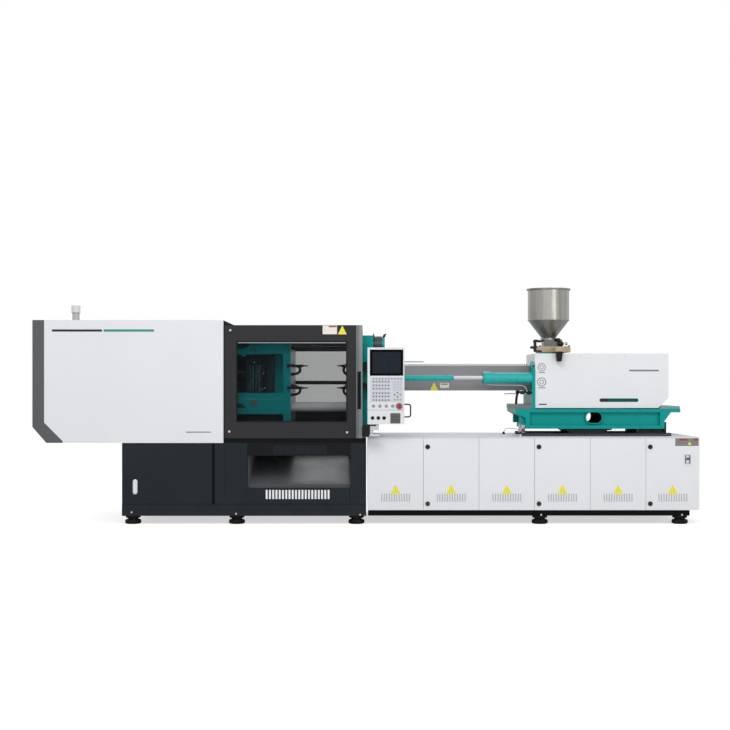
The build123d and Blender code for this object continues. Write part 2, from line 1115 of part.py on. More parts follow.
def make_hoses(face_x, way, reach, stub):
    return [
        piece
        for level in hose_levels
        for piece in hose_loop(face_x, way, axis_z + level, reach, stub)
    ]


# Injection base
def make_injection_base():
    x0 = injection_base_x0
    x1 = machine_end_x
    y0 = base_front_y + cabinet_door_thickness + seat_gap
    top_z = injection_base_top_z
    body = block(x0, x1, y0, base_rear_y, sill_z, top_z)
    sill = shape(
        (x0 + sill_inset_x, sill_z),
        (x0 + sill_inset_x, base_bottom_z),
        (sill_end_x, base_bottom_z),
        (sill_end_x, sill_z),
    )
    body += along_y(sill, base_front_y + sill_inset_y, base_rear_y - sill_inset_y)
    bay = (x1 - x0) / cabinet_bays
    for count in range(cabinet_bays):
        left = x0 + count * bay + bay_wall / 2
        body -= block(
            left,
            left + bay - bay_wall,
            y0,
            axis_y - bay_back,
            sill_z + bay_wall,
            top_z - bay_head,
        )
    lip = block(x0, x1, base_front_y, y0, top_z - base_lip, top_z)
    body += lip
    inner_x0 = x0 + base_rim
    body -= block(
        inner_x0,
        x1 - base_rim,
        base_front_y + base_rim,
        base_rear_y - base_rim,
        base_bottom_z,
        sill_z - base_wall,
    )
    for count in range(1, 2 * cabinet_bays):
        x = x0 + count * bay / 2
        body -= block(
            x - seam_width / 2,
            x + seam_width / 2,
            base_rear_y - seam_depth,
            base_rear_y,
            sill_z + rear_seam_end,
            top_z - rear_seam_end,
        )
    for x in (cable_x0, cable_x1):
        gland = Pos(x, front_y + cable_inset) * RegularPolygon(gland_radius, 6)
        body += along_z(gland, top_z, top_z + gland_height)
    return body


def make_cable():
    y = front_y + cable_inset
    z = injection_base_top_z + gland_height
    start = (cable_x0, y, z)
    end = (cable_x1, y, z)
    middle = [(cable_x0 + x, y, z + rise) for x, rise in cable_rise]
    points = [Vector(*point) for point in (start, *middle, end)]
    radii = []
    for before, corner, after in zip(points, points[1:], points[2:]):
        turn = (corner - before).get_angle(after - corner)
        shorter = min((corner - before).length, (after - corner).length)
        radii.append(0.45 * shorter / tan(radians(turn / 2)))
    path = FilletPolyline(*points, radius=radii)
    section = Plane(start, z_dir=(0, 0, 1)) * RegularPolygon(cable_radius, 8)
    return sweep(section, path)


def leaf_edges(number):
    left = injection_base_x0 + number * cabinet_pitch
    right = min(left + cabinet_pitch, machine_end_x)
    return left + door_gap / 2, right - door_gap / 2


def make_cabinet_door(number):
    left, right = leaf_edges(number)
    back_y = base_front_y + cabinet_door_thickness
    low_z = sill_z + cabinet_door_foot
    high_z = injection_base_top_z - cabinet_door_head
    leaf = block(left, right, base_front_y, back_y, low_z, high_z)
    edge = cabinet_door_edge
    leaf -= block(
        left + edge,
        right - edge,
        base_front_y + sheet,
        back_y,
        low_z + edge,
        high_z - edge,
    )
    middle = (left + right) / 2
    pitch = louvre_width / louvre_slots
    for count in range(louvre_slots):
        x = middle - louvre_width / 2 + (count + 0.5) * pitch
        leaf -= block(
            x - louvre_slot_width / 2,
            x + louvre_slot_width / 2,
            base_front_y,
            base_front_y + sheet,
            louvre_z0,
            louvre_z1,
        )
    if number % 2:
        for z in lock_z:
            lock = Pos(left + lock_inset, z) * RegularPolygon(lock_radius, 8)
            leaf += along_y(lock, base_front_y - lock_rise, base_front_y + sheet)
    if number == 2 * cabinet_bays - 1:
        leaf += block(
            breaker_x0,
            breaker_x1,
            base_front_y - breaker_rise,
            back_y,
            breaker_z0,
            breaker_z1,
        )
        middle_x = (breaker_x0 + breaker_x1) / 2
        middle_z = (breaker_z0 + breaker_z1) / 2
        leaf -= block(
            middle_x - toggle_width / 2 - toggle_play,
            middle_x + toggle_width / 2 + toggle_play,
            base_front_y - breaker_rise,
            base_front_y + sheet,
            middle_z - toggle_height,
            middle_z + toggle_height,
        )
    return leaf


def make_toggle():
    x = (breaker_x0 + breaker_x1) / 2
    z = (breaker_z0 + breaker_z1) / 2
    drum_width = toggle_width + 2 * toggle_play - 2 * seat_gap
    drum = Box(drum_width, toggle_drum, toggle_drum)
    lever = Pos(0, -toggle_reach / 2, 0) * Box(
        toggle_width * 0.6, toggle_reach, toggle_thickness
    )
    toggle = drum + Rot(-toggle_swing / 2, 0, 0) * lever
    return Pos(x, base_front_y - 2, z) * toggle


# Injection unit: rails, slides, turntable and beam
def make_injection_rails():
    y = axis_y - injection_rail_y
    rail = block(
        injection_rail_x0,
        injection_rail_x1,
        y - injection_rail_width / 2,
        y + injection_rail_width / 2,
        injection_base_top_z,
        injection_rail_top_z,
    )
    return both_sides(rail)


def make_slide_blocks():
    y = axis_y - injection_rail_y
    half = injection_rail_width / 2
    z0 = injection_rail_top_z + seat_gap
    pieces = []
    for x0 in (slide_block_x0, slide_block_x0 + slide_block_length + seam_width):
        foot = block(x0, x0 + slide_block_length, y - half, y + half, z0, beam_z0)
        pieces += both_sides(foot)
    inset = turntable_foot_inset
    table = shape(
        (turntable_x0 + inset, z0),
        (turntable_x1 - inset, z0),
        (turntable_x1 - inset / 2, turntable_step_z),
        (turntable_x1, turntable_step_z + turntable_edge),
        (turntable_x1, beam_z0),
        (turntable_x0, beam_z0),
        (turntable_x0, turntable_step_z + turntable_edge),
        (turntable_x0 + inset / 2, turntable_step_z),
    )
    pieces.append(along_y(table, axis_y - turntable_half, axis_y + turntable_half))
    return pieces


def make_beam():
    y0 = axis_y - beam_half_width
    y1 = axis_y + beam_half_width
    outline = shape(
        (beam_x0, beam_z0),
        (beam_x1, beam_z0),
        (beam_x1, beam_z1 - beam_tail_drop),
        (bracket_foot_x, beam_z1 - beam_flange),
        (bracket_x1, beam_z1 - beam_flange),
        (bracket_x1, beam_z1),
        (beam_nose_x, beam_z1),
        (beam_nose_x, beam_z1 - beam_flange),
        (beam_x0, beam_z1 - beam_nose_drop),
    )
    beam = along_y(outline, y0, y1)
    pocket = rect(
        beam_x0 + beam_wall, beam_x1 - beam_wall, beam_z0 + beam_flange, beam_z1 - beam_flange
    )
    web_y0 = y0 + beam_wall
    web_y1 = y1 - beam_wall
    beam -= along_y(pocket, y0, web_y0)
    beam -= along_y(pocket, web_y1, y1)
    hole_x0 = beam_hole_x - beam_hole_length / 2
    hole_x1 = beam_hole_x + beam_hole_length / 2
    for x1, ends, ring_ends in (
        (hole_x1, (y0, web_y0), (y0 + beam_ring_inset, web_y0)),
        (beam_hole_rear_x1, (web_y0, y1), (web_y1, y1 - beam_ring_inset)),
    ):
        middle = Pos((hole_x0 + x1) / 2, beam_hole_z)
        length = x1 - hole_x0
        ring = middle * SlotOverall(length + 2 * beam_ring, beam_hole_height + 2 * beam_ring)
        beam += along_y(ring, *ring_ends)
        beam -= along_y(middle * SlotOverall(length, beam_hole_height), *ends)
    post_y = y0 + beam_post_inset
    post_end_y = post_y + beam_post_inset
    post_x = (beam_nose_x + beam_post_from_nose, beam_x0 - beam_post_gap)
    post = block(*post_x, post_y, post_end_y, beam_post_z0, beam_z1 - beam_flange)
    return beam + post + mirror_y(post)


def make_barrel_plate():
    plate = block(
        barrel_plate_x0,
        barrel_plate_x1,
        axis_y - barrel_plate_half,
        axis_y + barrel_plate_half,
        beam_z1,
        barrel_plate_z1,
    )
    plate = chamfer(plate.edges().filter_by(Axis.X).group_by(Axis.Z)[-1], barrel_plate_chamfer)
    plate -= rod_x(
        barrel_plate_x0, barrel_plate_x1, axis_y, axis_z, barrel_radius
    )
    bearer = block(
        bearer_x0,
        barrel_plate_x0,
        axis_y - barrel_plate_half,
        axis_y + barrel_plate_half,
        beam_z1,
        beam_z1 + bearer_height,
    )
    return plate + bearer


def make_injection_cover():
    x0 = barrel_plate_x1
    x1 = injection_cover_x1
    cut = injection_cover_chamfer
    outline = shape(
        (x0, injection_cover_z0),
        (x1 - cut, injection_cover_z0),
        (x1, injection_cover_z0 + cut),
        (x1, injection_cover_z1),
        (x0, injection_cover_z1),
    )
    y0 = axis_y - injection_cover_half
    y1 = axis_y + injection_cover_half
    cover = along_y(outline, y0, y1)
    inside = shape(
        (x0, injection_cover_z0),
        (x1 - cut, injection_cover_z0),
        (x1 - sheet, injection_cover_z0 + cut - sheet / 2),
        (x1 - sheet, injection_cover_z1 - sheet),
        (x0, injection_cover_z1 - sheet),
    )
    cover -= along_y(inside, y0 + sheet, y1 - sheet)
    wall_z0 = barrel_plate_z1 + seat_gap
    cover += block(x0, x0 + sheet, y0 + sheet, y1 - sheet, wall_z0, injection_cover_z1 - sheet)
    slot = Pos((cover_slot_x0 + cover_slot_x1) / 2, cover_slot_z) * SlotOverall(
        cover_slot_x1 - cover_slot_x0, cover_slot_height
    )
    cover -= along_y(slot, y0, y0 + sheet)
    cover -= along_y(slot, y1 - sheet, y1)
    cover -= block(
        throat_x0 - seat_gap,
        throat_x1 + seat_gap,
        axis_y - throat_half - seat_gap,
        axis_y + throat_half + seat_gap,
        injection_cover_z1 - sheet,
        injection_cover_z1,
    )
    return cover


# Carriage cylinders that draw the injection unit to the fixed platen
def make_carriage_rods():
    y = axis_y - carriage_y
    rod = rod_x(
        carriage_sleeve_x1,
        carriage_gland_x0 + carriage_rod_inside,
        y,
        carriage_z,
        carriage_rod_radius,
    )
    sleeve = turned_x(
        (
            (fixed_platen_x1, 0),
            (fixed_platen_x1, carriage_sleeve_radius),
            (carriage_sleeve_x1 - carriage_sleeve_cone, carriage_sleeve_radius),
            (carriage_sleeve_x1, carriage_rod_radius),
            (carriage_sleeve_x1, 0),
        ),
        y,
        carriage_z,
    )
    return both_sides(rod) + both_sides(sleeve)


def make_carriage_cylinders():
    y = axis_y - carriage_y
    profile = (
        (carriage_gland_x0, carriage_rod_radius + running_gap),
        (carriage_gland_x0, carriage_gland_radius - carriage_gland_edge),
        (carriage_gland_x0 + carriage_gland_edge, carriage_gland_radius),
        (carriage_gland_x1, carriage_gland_radius),
        (carriage_gland_x1, carriage_cylinder_radius),
        (barrel_plate_x0, carriage_cylinder_radius),
        (barrel_plate_x0, carriage_rod_radius + running_gap),
    )
    return both_sides(turned_x(profile, y, carriage_z))


# Barrel, screw and drive
def make_barrel():
    barrel = rod_x(barrel_x0, barrel_x1, axis_y, axis_z, barrel_radius)
    barrel -= rod_x(
        barrel_x0 + barrel_end, barrel_x1, axis_y, axis_z, screw_radius + running_gap
    )
    barrel -= rod_z(
        axis_z, axis_z + barrel_radius, hopper_x, axis_y, feed_radius
    )
    return barrel


def make_heater_bands():
    bands = []
    for x in heater_x:
        band = rod_x(x, x + heater_width, axis_y, axis_z, heater_radius)
        bands.append(band - rod_x(x, x + heater_width, axis_y, axis_z, barrel_radius))
    return bands


def make_nozzle():
    profile = (
        (barrel_x0, 0),
        (barrel_x0, nozzle_radius),
        (nozzle_tip_x + nozzle_cone, nozzle_radius),
        (nozzle_tip_x, nozzle_tip_radius),
        (nozzle_tip_x, 0),
    )
    return turned_x(profile, axis_y, axis_z)


def make_screw():
    tip_x = barrel_x0 + barrel_end + screw_tip_gap
    profile = (
        (tip_x, 0),
        (tip_x + screw_tip_length, screw_radius),
        (thrust_plate_x0 - seat_gap, screw_radius),
        (thrust_plate_x0 - seat_gap, 0),
    )
    return turned_x(profile, axis_y, axis_z)


def make_throat_block():
    half = throat_half
    body = block(
        throat_x0,
        throat_x1,
        axis_y - half,
        axis_y + half,
        beam_z1,
        hopper_plate_z0,
    )
    body -= rod_x(throat_x0, throat_x1, axis_y, axis_z, barrel_radius)
    body -= rod_z(
        axis_z + barrel_radius, hopper_plate_z0, hopper_x, axis_y, feed_radius
    )
    return body


def make_thrust_unit():
    x0 = thrust_plate_x0
    x1 = x0 + thrust_plate_thickness
    plate = block(
        x0,
        x1,
        axis_y - thrust_plate_half_y,
        axis_y + thrust_plate_half_y,
        axis_z - thrust_plate_half_z,
        axis_z + thrust_plate_half_z,
    )
    for side in (-1, 1):
        plate += rod_x(
            x0 - injection_stroke - injection_piston_spare,
            x0,
            axis_y + side * injection_cylinder_y,
            axis_z,
            injection_piston_radius,
        )
    motor = rod_x(x1, x1 + motor_length, axis_y, axis_z, motor_radius)
    return [plate, motor]


def make_injection_cylinders():
    y = axis_y - injection_cylinder_y
    x0 = barrel_plate_x1
    x1 = thrust_plate_x0 - injection_cylinder_gap
    half = injection_cylinder_half
    body = block(x0, x1, y - half, y + half, axis_z - half, axis_z + half)
    bore_x0 = x0 + injection_cylinder_end
    body -= rod_x(bore_x0, x1, y, axis_z, injection_piston_radius + running_gap)
    return both_sides(body)


# Hopper
def make_hopper_plate():
    base = block(
        hopper_plate_x0,
        hopper_plate_x1,
        axis_y - hopper_plate_half,
        axis_y + hopper_plate_half,
        hopper_plate_z0,
        hopper_plate_z1,
    )
    block_half = gate_block_half
    gate_z0 = hopper_plate_z1 + gate_rise
    head = block(
        gate_block_x0,
        gate_block_x1,
        axis_y - block_half,
        axis_y + block_half,
        hopper_plate_z1,
        gate_block_z1,
    )
    head -= block(
        hopper_x - gate_width / 2 - running_gap,
        gate_block_x1,
        axis_y - gate_width / 2 - running_gap,
        axis_y + gate_width / 2 + running_gap,
        gate_z0,
        gate_z0 + gate_thickness + 2 * running_gap,
    )
    way = rod_z(
        hopper_plate_z0, gate_block_z1, hopper_x, axis_y, feed_radius
    )
    spout_y1 = axis_y - injection_cover_half - spout_gap
    spout_y0 = spout_y1 - spout_width
    spout = shape(
        (spout_x0, hopper_plate_z0),
        (spout_x1, hopper_plate_z0),
        (spout_x1 - spout_taper, spout_z0),
        (spout_x0 + spout_taper, spout_z0),
    )
    base += block(
        spout_x0,
        spout_x1,
        spout_y0,
        axis_y - hopper_plate_half,
        hopper_plate_z0,
        hopper_plate_z0 + spout_arm_height,
    )
    base += along_y(spout, spout_y0, spout_y1)
    return [base - way, head - way]


def make_gate():
    gate_z0 = hopper_plate_z1 + gate_rise + running_gap
    grip_x = gate_block_x1 + gate_grip
    blade = block(
        hopper_x - gate_width / 2,
        grip_x,
        axis_y - gate_width / 2,
        axis_y + gate_width / 2,
        gate_z0,
        gate_z0 + gate_thickness,
    )
    knob_z = gate_z0 + gate_thickness / 2
    knob = rod_x(grip_x, grip_x + gate_knob_length, axis_y, knob_z, gate_knob_radius)
    return blade + knob


def make_hopper():
    wall = hopper_wall
    z0 = gate_block_z1
    profile = (
        (hopper_neck_radius - wall, z0),
        (hopper_neck_radius, z0),
        (hopper_radius, hopper_cone_top_z),
        (hopper_radius, hopper_top_z - hopper_rim_height),
        (hopper_rim_radius, hopper_top_z - hopper_rim_height),
        (hopper_rim_radius, hopper_top_z),
        (hopper_radius - wall, hopper_top_z),
        (hopper_radius - wall, hopper_cone_top_z + 1),
    )
    return turned(profile, hopper_x, axis_y)


def make_barrel_cover():
    y0 = axis_y - barrel_cover_half
    y1 = axis_y + barrel_cover_half
    z0 = barrel_cover_z0
    z1 = barrel_cover_z1
    cut = barrel_cover_chamfer
    outer = shape(
        (y0, z0), (y0, z1 - cut), (y0 + cut, z1), (y1 - cut, z1), (y1, z1 - cut), (y1, z0)
    )
    inner = shape(
        (y0 + sheet, z0),
        (y0 + sheet, z1 - cut - sheet / 2),
        (y0 + cut + sheet / 2, z1 - sheet),
        (y1 - cut - sheet / 2, z1 - sheet),
        (y1 - sheet, z1 - cut - sheet / 2),
        (y1 - sheet, z0),
    )
    x1 = barrel_plate_x0 - seat_gap
    cover = along_x(outer, barrel_cover_x0, x1)
    cover -= along_x(inner, barrel_cover_x0, x1)
    for count in range(barrel_cover_slots):
        x = barrel_cover_x0 + barrel_cover_chamfer + count * barrel_cover_slot_pitch
        cover -= block(
            x,
            x + barrel_cover_slot_length,
            y0 - sheet,
            y0 + cut - barrel_cover_slot_inset,
            z1 - cut + barrel_cover_slot_inset,
            z1 - barrel_cover_slot_top,
        )
    return cover


def make_purge_guard():
    x0 = fixed_platen_x1 + seat_gap
    x1 = x0 + purge_length
    y0 = axis_y - purge_half_width
    y1 = axis_y + purge_half_width
    z0 = purge_top_z - purge_height
    outer = shape(
        (y0, z0), (y0, purge_top_z), (y1, purge_top_z), (y1, z0)
    )
    inner_top = purge_top_z - sheet
    inner = rect(y0 + sheet, y1 - sheet, z0, inner_top)
    return along_x(outer, x0, x1) - along_x(inner, x0, x1)


# Operator panel
def make_panel_arm():
    y = panel_back_y - panel_depth / 2
    foot_y = base_front_y + cabinet_door_thickness + seat_gap
    top_z = pivot_plate_z0 + pivot_plate
    plate = block(*pivot_plate_x, y - pivot_plate_lap, foot_y, pivot_plate_z0, top_z)
    upright = block(
        *pivot_plate_x, foot_y, foot_y + pivot_upright, injection_base_top_z, top_z
    )
    post = rod_z(top_z, panel_z0 - seat_gap, pivot_x, y, pivot_radius)
    return plate + upright + post


def make_panel():
    body = block(panel_x0, panel_x1, panel_front_y, panel_back_y, panel_z0, panel_z1)
    body = chamfer(body.edges().filter_by(Axis.Z), panel_corner)
    body -= block(
        screen_x0,
        screen_x1,
        panel_front_y,
        panel_front_y + screen_depth,
        screen_z0,
        screen_z1,
    )
    reach = button_stem_half + stem_gap
    for x in button_x:
        body -= block(
            x - reach,
            x + reach,
            panel_front_y,
            panel_front_y + stem_depth,
            button_z - reach,
            button_z + reach,
        )
    reach = stop_stem_half + stem_gap
    body -= block(
        stop_x - reach,
        stop_x + reach,
        panel_front_y,
        panel_front_y + stem_depth,
        button_z - reach,
        button_z + reach,
    )
    for x in socket_x:
        body += rod_y(panel_front_y - socket_rise, panel_front_y, x, socket_z, socket_radius)
    y = panel_front_y + panel_depth / 2
    grip = panel_handle_radius
    path = FilletPolyline(
        (panel_x1, y, panel_handle_z1 - grip),
        (panel_handle_x - grip, y, panel_handle_z1 - grip),
        (panel_handle_x - grip, y, panel_handle_z0 + grip),
        (panel_x1, y, panel_handle_z0 + grip),
        radius=handle_bend,
    )
    start = Plane((panel_x1, y, panel_handle_z1 - grip), z_dir=(1, 0, 0))
    handle = sweep(start * RegularPolygon(grip, 8), path)
    return [body, handle]


def make_screen():
    return block(
        screen_x0,
        screen_x1,
        panel_front_y - screen_rise,
        panel_front_y + screen_depth,
        screen_z0,
        screen_z1,
    )


def pressed_stem(x, half, cap_y, travel):
    """A square stem from the cap into its well, with room behind it for the travel."""
    end_y = panel_front_y + stem_depth - travel - seat_gap
    return block(x - half, x + half, cap_y, end_y, button_z - half, button_z + half)


def make_button(number):
    x = button_x[number]
    cap_y = panel_front_y - button_rise
    cap_back_y = panel_front_y - button_travel - seat_gap
    cap = rod_y(cap_y, cap_back_y, x, button_z, button_radius)
    return cap + pressed_stem(x, button_stem_half, cap_y + 2, button_travel)


def make_stop_button():
    cap_y = panel_front_y - stop_rise
    cap = rod_y(cap_y, cap_y + stop_cap, stop_x, button_z, stop_radius)
    cap = chamfer(cap.edges().filter_by(GeomType.CIRCLE).group_by(Axis.Y)[0], stop_edge)
    return cap + pressed_stem(stop_x, stop_stem_half, cap_y + stop_edge, stop_travel)


os.makedirs("parts", exist_ok=True)

save("levelling_feet", *make_feet())
save("clamp_base", make_clamp_base())
save("drop_chute", make_drop_chute())
save("clamp_front_guard", make_front_guard())
save("clamp_rear_guard", make_rear_guard())
save("clamp_end_guard", make_end_guard())
save("signal_beacon", make_beacon())
save("door_frame", make_door_frame())
save("front_door", make_front_door(), make_handle())
save("front_window", make_front_window())
save("rear_door", make_rear_door())
save("fixed_platen", make_fixed_platen())
save("moving_platen", make_moving_platen())
save("tie_bars", *make_tie_bars())
save("front_half_nuts", *make_front_nuts())
save("rear_half_nuts", *make_rear_nuts())
save("clamp_cylinders", *make_clamp_cylinders())
save("bed_rails", *make_bed_rails())
save("platen_shoes", *make_shoes())
save("travel_cylinders", *make_travel_cylinders())
save("travel_rods", *make_travel_rods())
save("ejector", make_ejector())
save("ejector_cylinder", make_ejector_cylinder())
save("moving_platen_hoses", *make_hoses(moving_plate_x1, 1, *moving_hose))
save("fixed_platen_hoses", *make_hoses(fixed_platen_x0, -1, *fixed_hose))
save("injection_base", make_injection_base())
save("sensor_cable", make_cable())
for number in range(2 * cabinet_bays):
    save(f"cabinet_door_{number + 1}", make_cabinet_door(number))
save("breaker_toggle", make_toggle())
save("injection_rails", *make_injection_rails())
save("slide_blocks", *make_slide_blocks())
save("injection_beam", make_beam())
save("barrel_plate", make_barrel_plate())
save("injection_cover", make_injection_cover())
save("carriage_rods", *make_carriage_rods())
save("carriage_cylinders", *make_carriage_cylinders())
save("barrel", make_barrel())
save("heater_bands", *make_heater_bands())
save("nozzle", make_nozzle())
save("screw", make_screw())
save("throat_block", make_throat_block())
save("thrust_unit", *make_thrust_unit())
save("injection_cylinders", *make_injection_cylinders())
save("hopper_seat", *make_hopper_plate())
save("hopper_gate", make_gate())
save("hopper", make_hopper())
save("barrel_cover", make_barrel_cover())
save("purge_guard", make_purge_guard())
save("panel_arm", make_panel_arm())
save("control_panel", *make_panel(), make_screen())
for number in range(len(button_x)):
    save(f"push_button_{number + 1}", make_button(number))
save("emergency_stop", make_stop_button())
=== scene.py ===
import math
import bmesh
import bpy
from mathutils import Matrix, Vector


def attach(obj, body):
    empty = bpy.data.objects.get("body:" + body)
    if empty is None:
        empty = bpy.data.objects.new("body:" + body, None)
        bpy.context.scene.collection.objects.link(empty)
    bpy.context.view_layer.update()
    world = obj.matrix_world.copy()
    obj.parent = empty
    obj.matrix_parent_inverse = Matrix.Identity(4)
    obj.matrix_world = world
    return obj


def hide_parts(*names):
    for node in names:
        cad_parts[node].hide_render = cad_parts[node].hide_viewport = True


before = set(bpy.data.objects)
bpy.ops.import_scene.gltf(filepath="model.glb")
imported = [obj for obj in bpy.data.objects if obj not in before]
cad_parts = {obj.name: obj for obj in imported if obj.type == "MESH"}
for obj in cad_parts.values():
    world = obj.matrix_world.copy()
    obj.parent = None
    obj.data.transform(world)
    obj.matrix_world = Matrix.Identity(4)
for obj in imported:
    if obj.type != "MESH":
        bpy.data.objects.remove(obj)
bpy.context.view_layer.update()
axisY = 0.145
print("frame loaded:", len(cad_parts), "nodes")

# camera
viewPoint = {"place": (-0.016, -18.255, 1.84), "lens": 65.4, "lift": 0.0275}


def makeCamera(look):
    data = bpy.data.cameras.new("photoCamera")
    data.lens = look["lens"]
    data.sensor_width = 36
    data.shift_y = look["lift"]
    data.clip_end = 200
    camera = bpy.data.objects.new("photoCamera", data)
    camera.location = look["place"]
    camera.rotation_euler = (math.radians(90), 0, 0)
    bpy.context.scene.collection.objects.link(camera)
    bpy.context.scene.camera = camera


makeCamera(viewPoint)


# the cable on top of the injection base, with the route that the solid has
sensorCable = {
    "start": (1.838, -0.515, 1.185),
    "rise": ((0, 0), (0, 0.045), (0.045, 0.082), (0.15, 0.072), (0.224, 0.054), (0.224, 0)),
    "diameter": 0.008,
}


def makeCable(look):
    curve = bpy.data.curves.new("sensorCableRun", "CURVE")
    curve.dimensions = "3D"
    curve.bevel_depth = look["diameter"] / 2
    curve.bevel_resolution = 4
    curve.resolution_u = 24
    curve.use_fill_caps = True
    spline = curve.splines.new("NURBS")
    x, y, z = look["start"]
    spline.points.add(len(look["rise"]) - 1)
    for point, (run, rise) in zip(spline.points, look["rise"]):
        point.co = (x + run, y, z + rise, 1)
    spline.order_u = 3
    spline.use_endpoint_u = True
    cable = bpy.data.objects.new("sensorCableRun", curve)
    bpy.context.scene.collection.objects.link(cable)
    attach(cable, "frame")
    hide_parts("sensor_cable")
    return cable


cableObject = makeCable(sensorCable)
print("camera and cable made")


# shader groups
def rgb(red, green, blue):
    mixed = []
    for value in (red, green, blue):
        value /= 255
        mixed.append(value / 12.92 if value <= 0.04045 else ((value + 0.055) / 1.055) ** 2.4)
    return (*mixed, 1)


def newGroup(name, inputs, outputs):
    group = bpy.data.node_groups.new(name, "ShaderNodeTree")
    for title, kind, value in inputs:
        socket = group.interface.new_socket(title, in_out="INPUT", socket_type=kind)
        if value is not None:
            socket.default_value = value
    for title, kind in outputs:
        group.interface.new_socket(title, in_out="OUTPUT", socket_type=kind)
    nodes = group.nodes
    return group, nodes.new("NodeGroupInput"), nodes.new("NodeGroupOutput")


def mathNode(nodes, links, kind, first, second, clamp=False):
    node = nodes.new("ShaderNodeMath")
    node.operation = kind
    node.use_clamp = clamp
    for socket, value in zip(node.inputs, (first, second)):
        if isinstance(value, (int, float)):
            socket.default_value = value
        else:
            links.new(value, socket)
    return node.outputs[0]


def noiseNode(nodes, links, vector, scale, detail=4.0, rough=0.55):
    node = nodes.new("ShaderNodeTexNoise")
    node.inputs["Detail"].default_value = detail
    node.inputs["Roughness"].default_value = rough
    if isinstance(scale, (int, float)):
        node.inputs["Scale"].default_value = scale
    else:
        links.new(scale, node.inputs["Scale"])
    links.new(vector, node.inputs["Vector"])
    return node.outputs["Fac"]


def spread(nodes, links, value, low, high, newLow, newHigh):
    node = nodes.new("ShaderNodeMapRange")
    links.new(value, node.inputs["Value"])
    for title, number in (("From Min", low), ("From Max", high), ("To Min", newLow), ("To Max", newHigh)):
        if isinstance(number, (int, float)):
            node.inputs[title].default_value = number
        else:
            links.new(number, node.inputs[title])
    return node.outputs["Result"]


def blendColour(nodes, links, mask, first, second, kind="MIX"):
    node = nodes.new("ShaderNodeMix")
    node.data_type = "RGBA"
    node.blend_type = kind
    for socket, value in ((node.inputs[0], mask), (node.inputs[6], first), (node.inputs[7], second)):
        if isinstance(value, (int, float, tuple)):
            socket.default_value = value
        else:
            links.new(value, socket)
    return node.outputs[2]


def blendValue(nodes, links, mask, first, second):
    node = nodes.new("ShaderNodeMix")
    for socket, value in ((node.inputs[0], mask), (node.inputs[2], first), (node.inputs[3], second)):
        if isinstance(value, (int, float)):
            socket.default_value = value
        else:
            links.new(value, socket)
    return node.outputs[0]


def makeTexturedPaint():
    # the orange-peel skin of a sprayed coat, with slow shifts in tone and sheen
    group, start, end = newGroup(
        "sprayedCoat",
        [("Vector", "NodeSocketVector", None), ("Colour", "NodeSocketColor", None), ("Roughness", "NodeSocketFloat", 0.4),
         ("Peel Size", "NodeSocketFloat", 300.0), ("Mottle", "NodeSocketFloat", 0.04)],
        [("Colour", "NodeSocketColor"), ("Roughness", "NodeSocketFloat"), ("Height", "NodeSocketFloat")],
    )
    nodes, links = group.nodes, group.links
    place = start.outputs["Vector"]
    slow = noiseNode(nodes, links, place, 1.3, 3.0)
    patch = noiseNode(nodes, links, place, 14.0, 5.0)
    peel = noiseNode(nodes, links, place, start.outputs["Peel Size"], 2.0)
    tone = spread(nodes, links, slow, 0.3, 0.7, 0.0, start.outputs["Mottle"])
    darker = blendColour(nodes, links, tone, start.outputs["Colour"], (0.0, 0.0, 0.0, 1))
    links.new(darker, end.inputs["Colour"])
    shift = spread(nodes, links, patch, 0.25, 0.75, -0.05, 0.07)
    links.new(mathNode(nodes, links, "ADD", start.outputs["Roughness"], shift, True), end.inputs["Roughness"])
    links.new(peel, end.inputs["Height"])
    return group


def makeSettledDust():
    # dust and boot marks that fade out above the floor, and a thin film on the upward faces
    group, start, end = newGroup(
        "settledDust",
        [("Vector", "NodeSocketVector", None), ("Normal", "NodeSocketVector", None), ("Colour", "NodeSocketColor", None),
         ("Dust", "NodeSocketColor", (0.42, 0.40, 0.37, 1)), ("Low", "NodeSocketFloat", 0.35), ("Film", "NodeSocketFloat", 0.08)],
        [("Colour", "NodeSocketColor"), ("Mask", "NodeSocketFloat")],
    )
    nodes, links = group.nodes, group.links
    split = nodes.new("ShaderNodeSeparateXYZ")
    links.new(start.outputs["Vector"], split.inputs[0])
    facing = nodes.new("ShaderNodeSeparateXYZ")
    links.new(start.outputs["Normal"], facing.inputs[0])
    smear = noiseNode(nodes, links, start.outputs["Vector"], 6.0, 8.0, 0.65)
    near = spread(nodes, links, split.outputs["Z"], 0.02, 0.55, start.outputs["Low"], 0.0)
    up = mathNode(nodes, links, "MULTIPLY", mathNode(nodes, links, "MAXIMUM", facing.outputs["Z"], 0.0), start.outputs["Film"])
    both = mathNode(nodes, links, "ADD", near, up, True)
    broken = spread(nodes, links, smear, 0.35, 0.7, 0.0, 1.0)
    mask = mathNode(nodes, links, "MULTIPLY", both, broken, True)
    links.new(blendColour(nodes, links, mask, start.outputs["Colour"], start.outputs["Dust"]), end.inputs["Colour"])
    links.new(mask, end.inputs["Mask"])
    return group


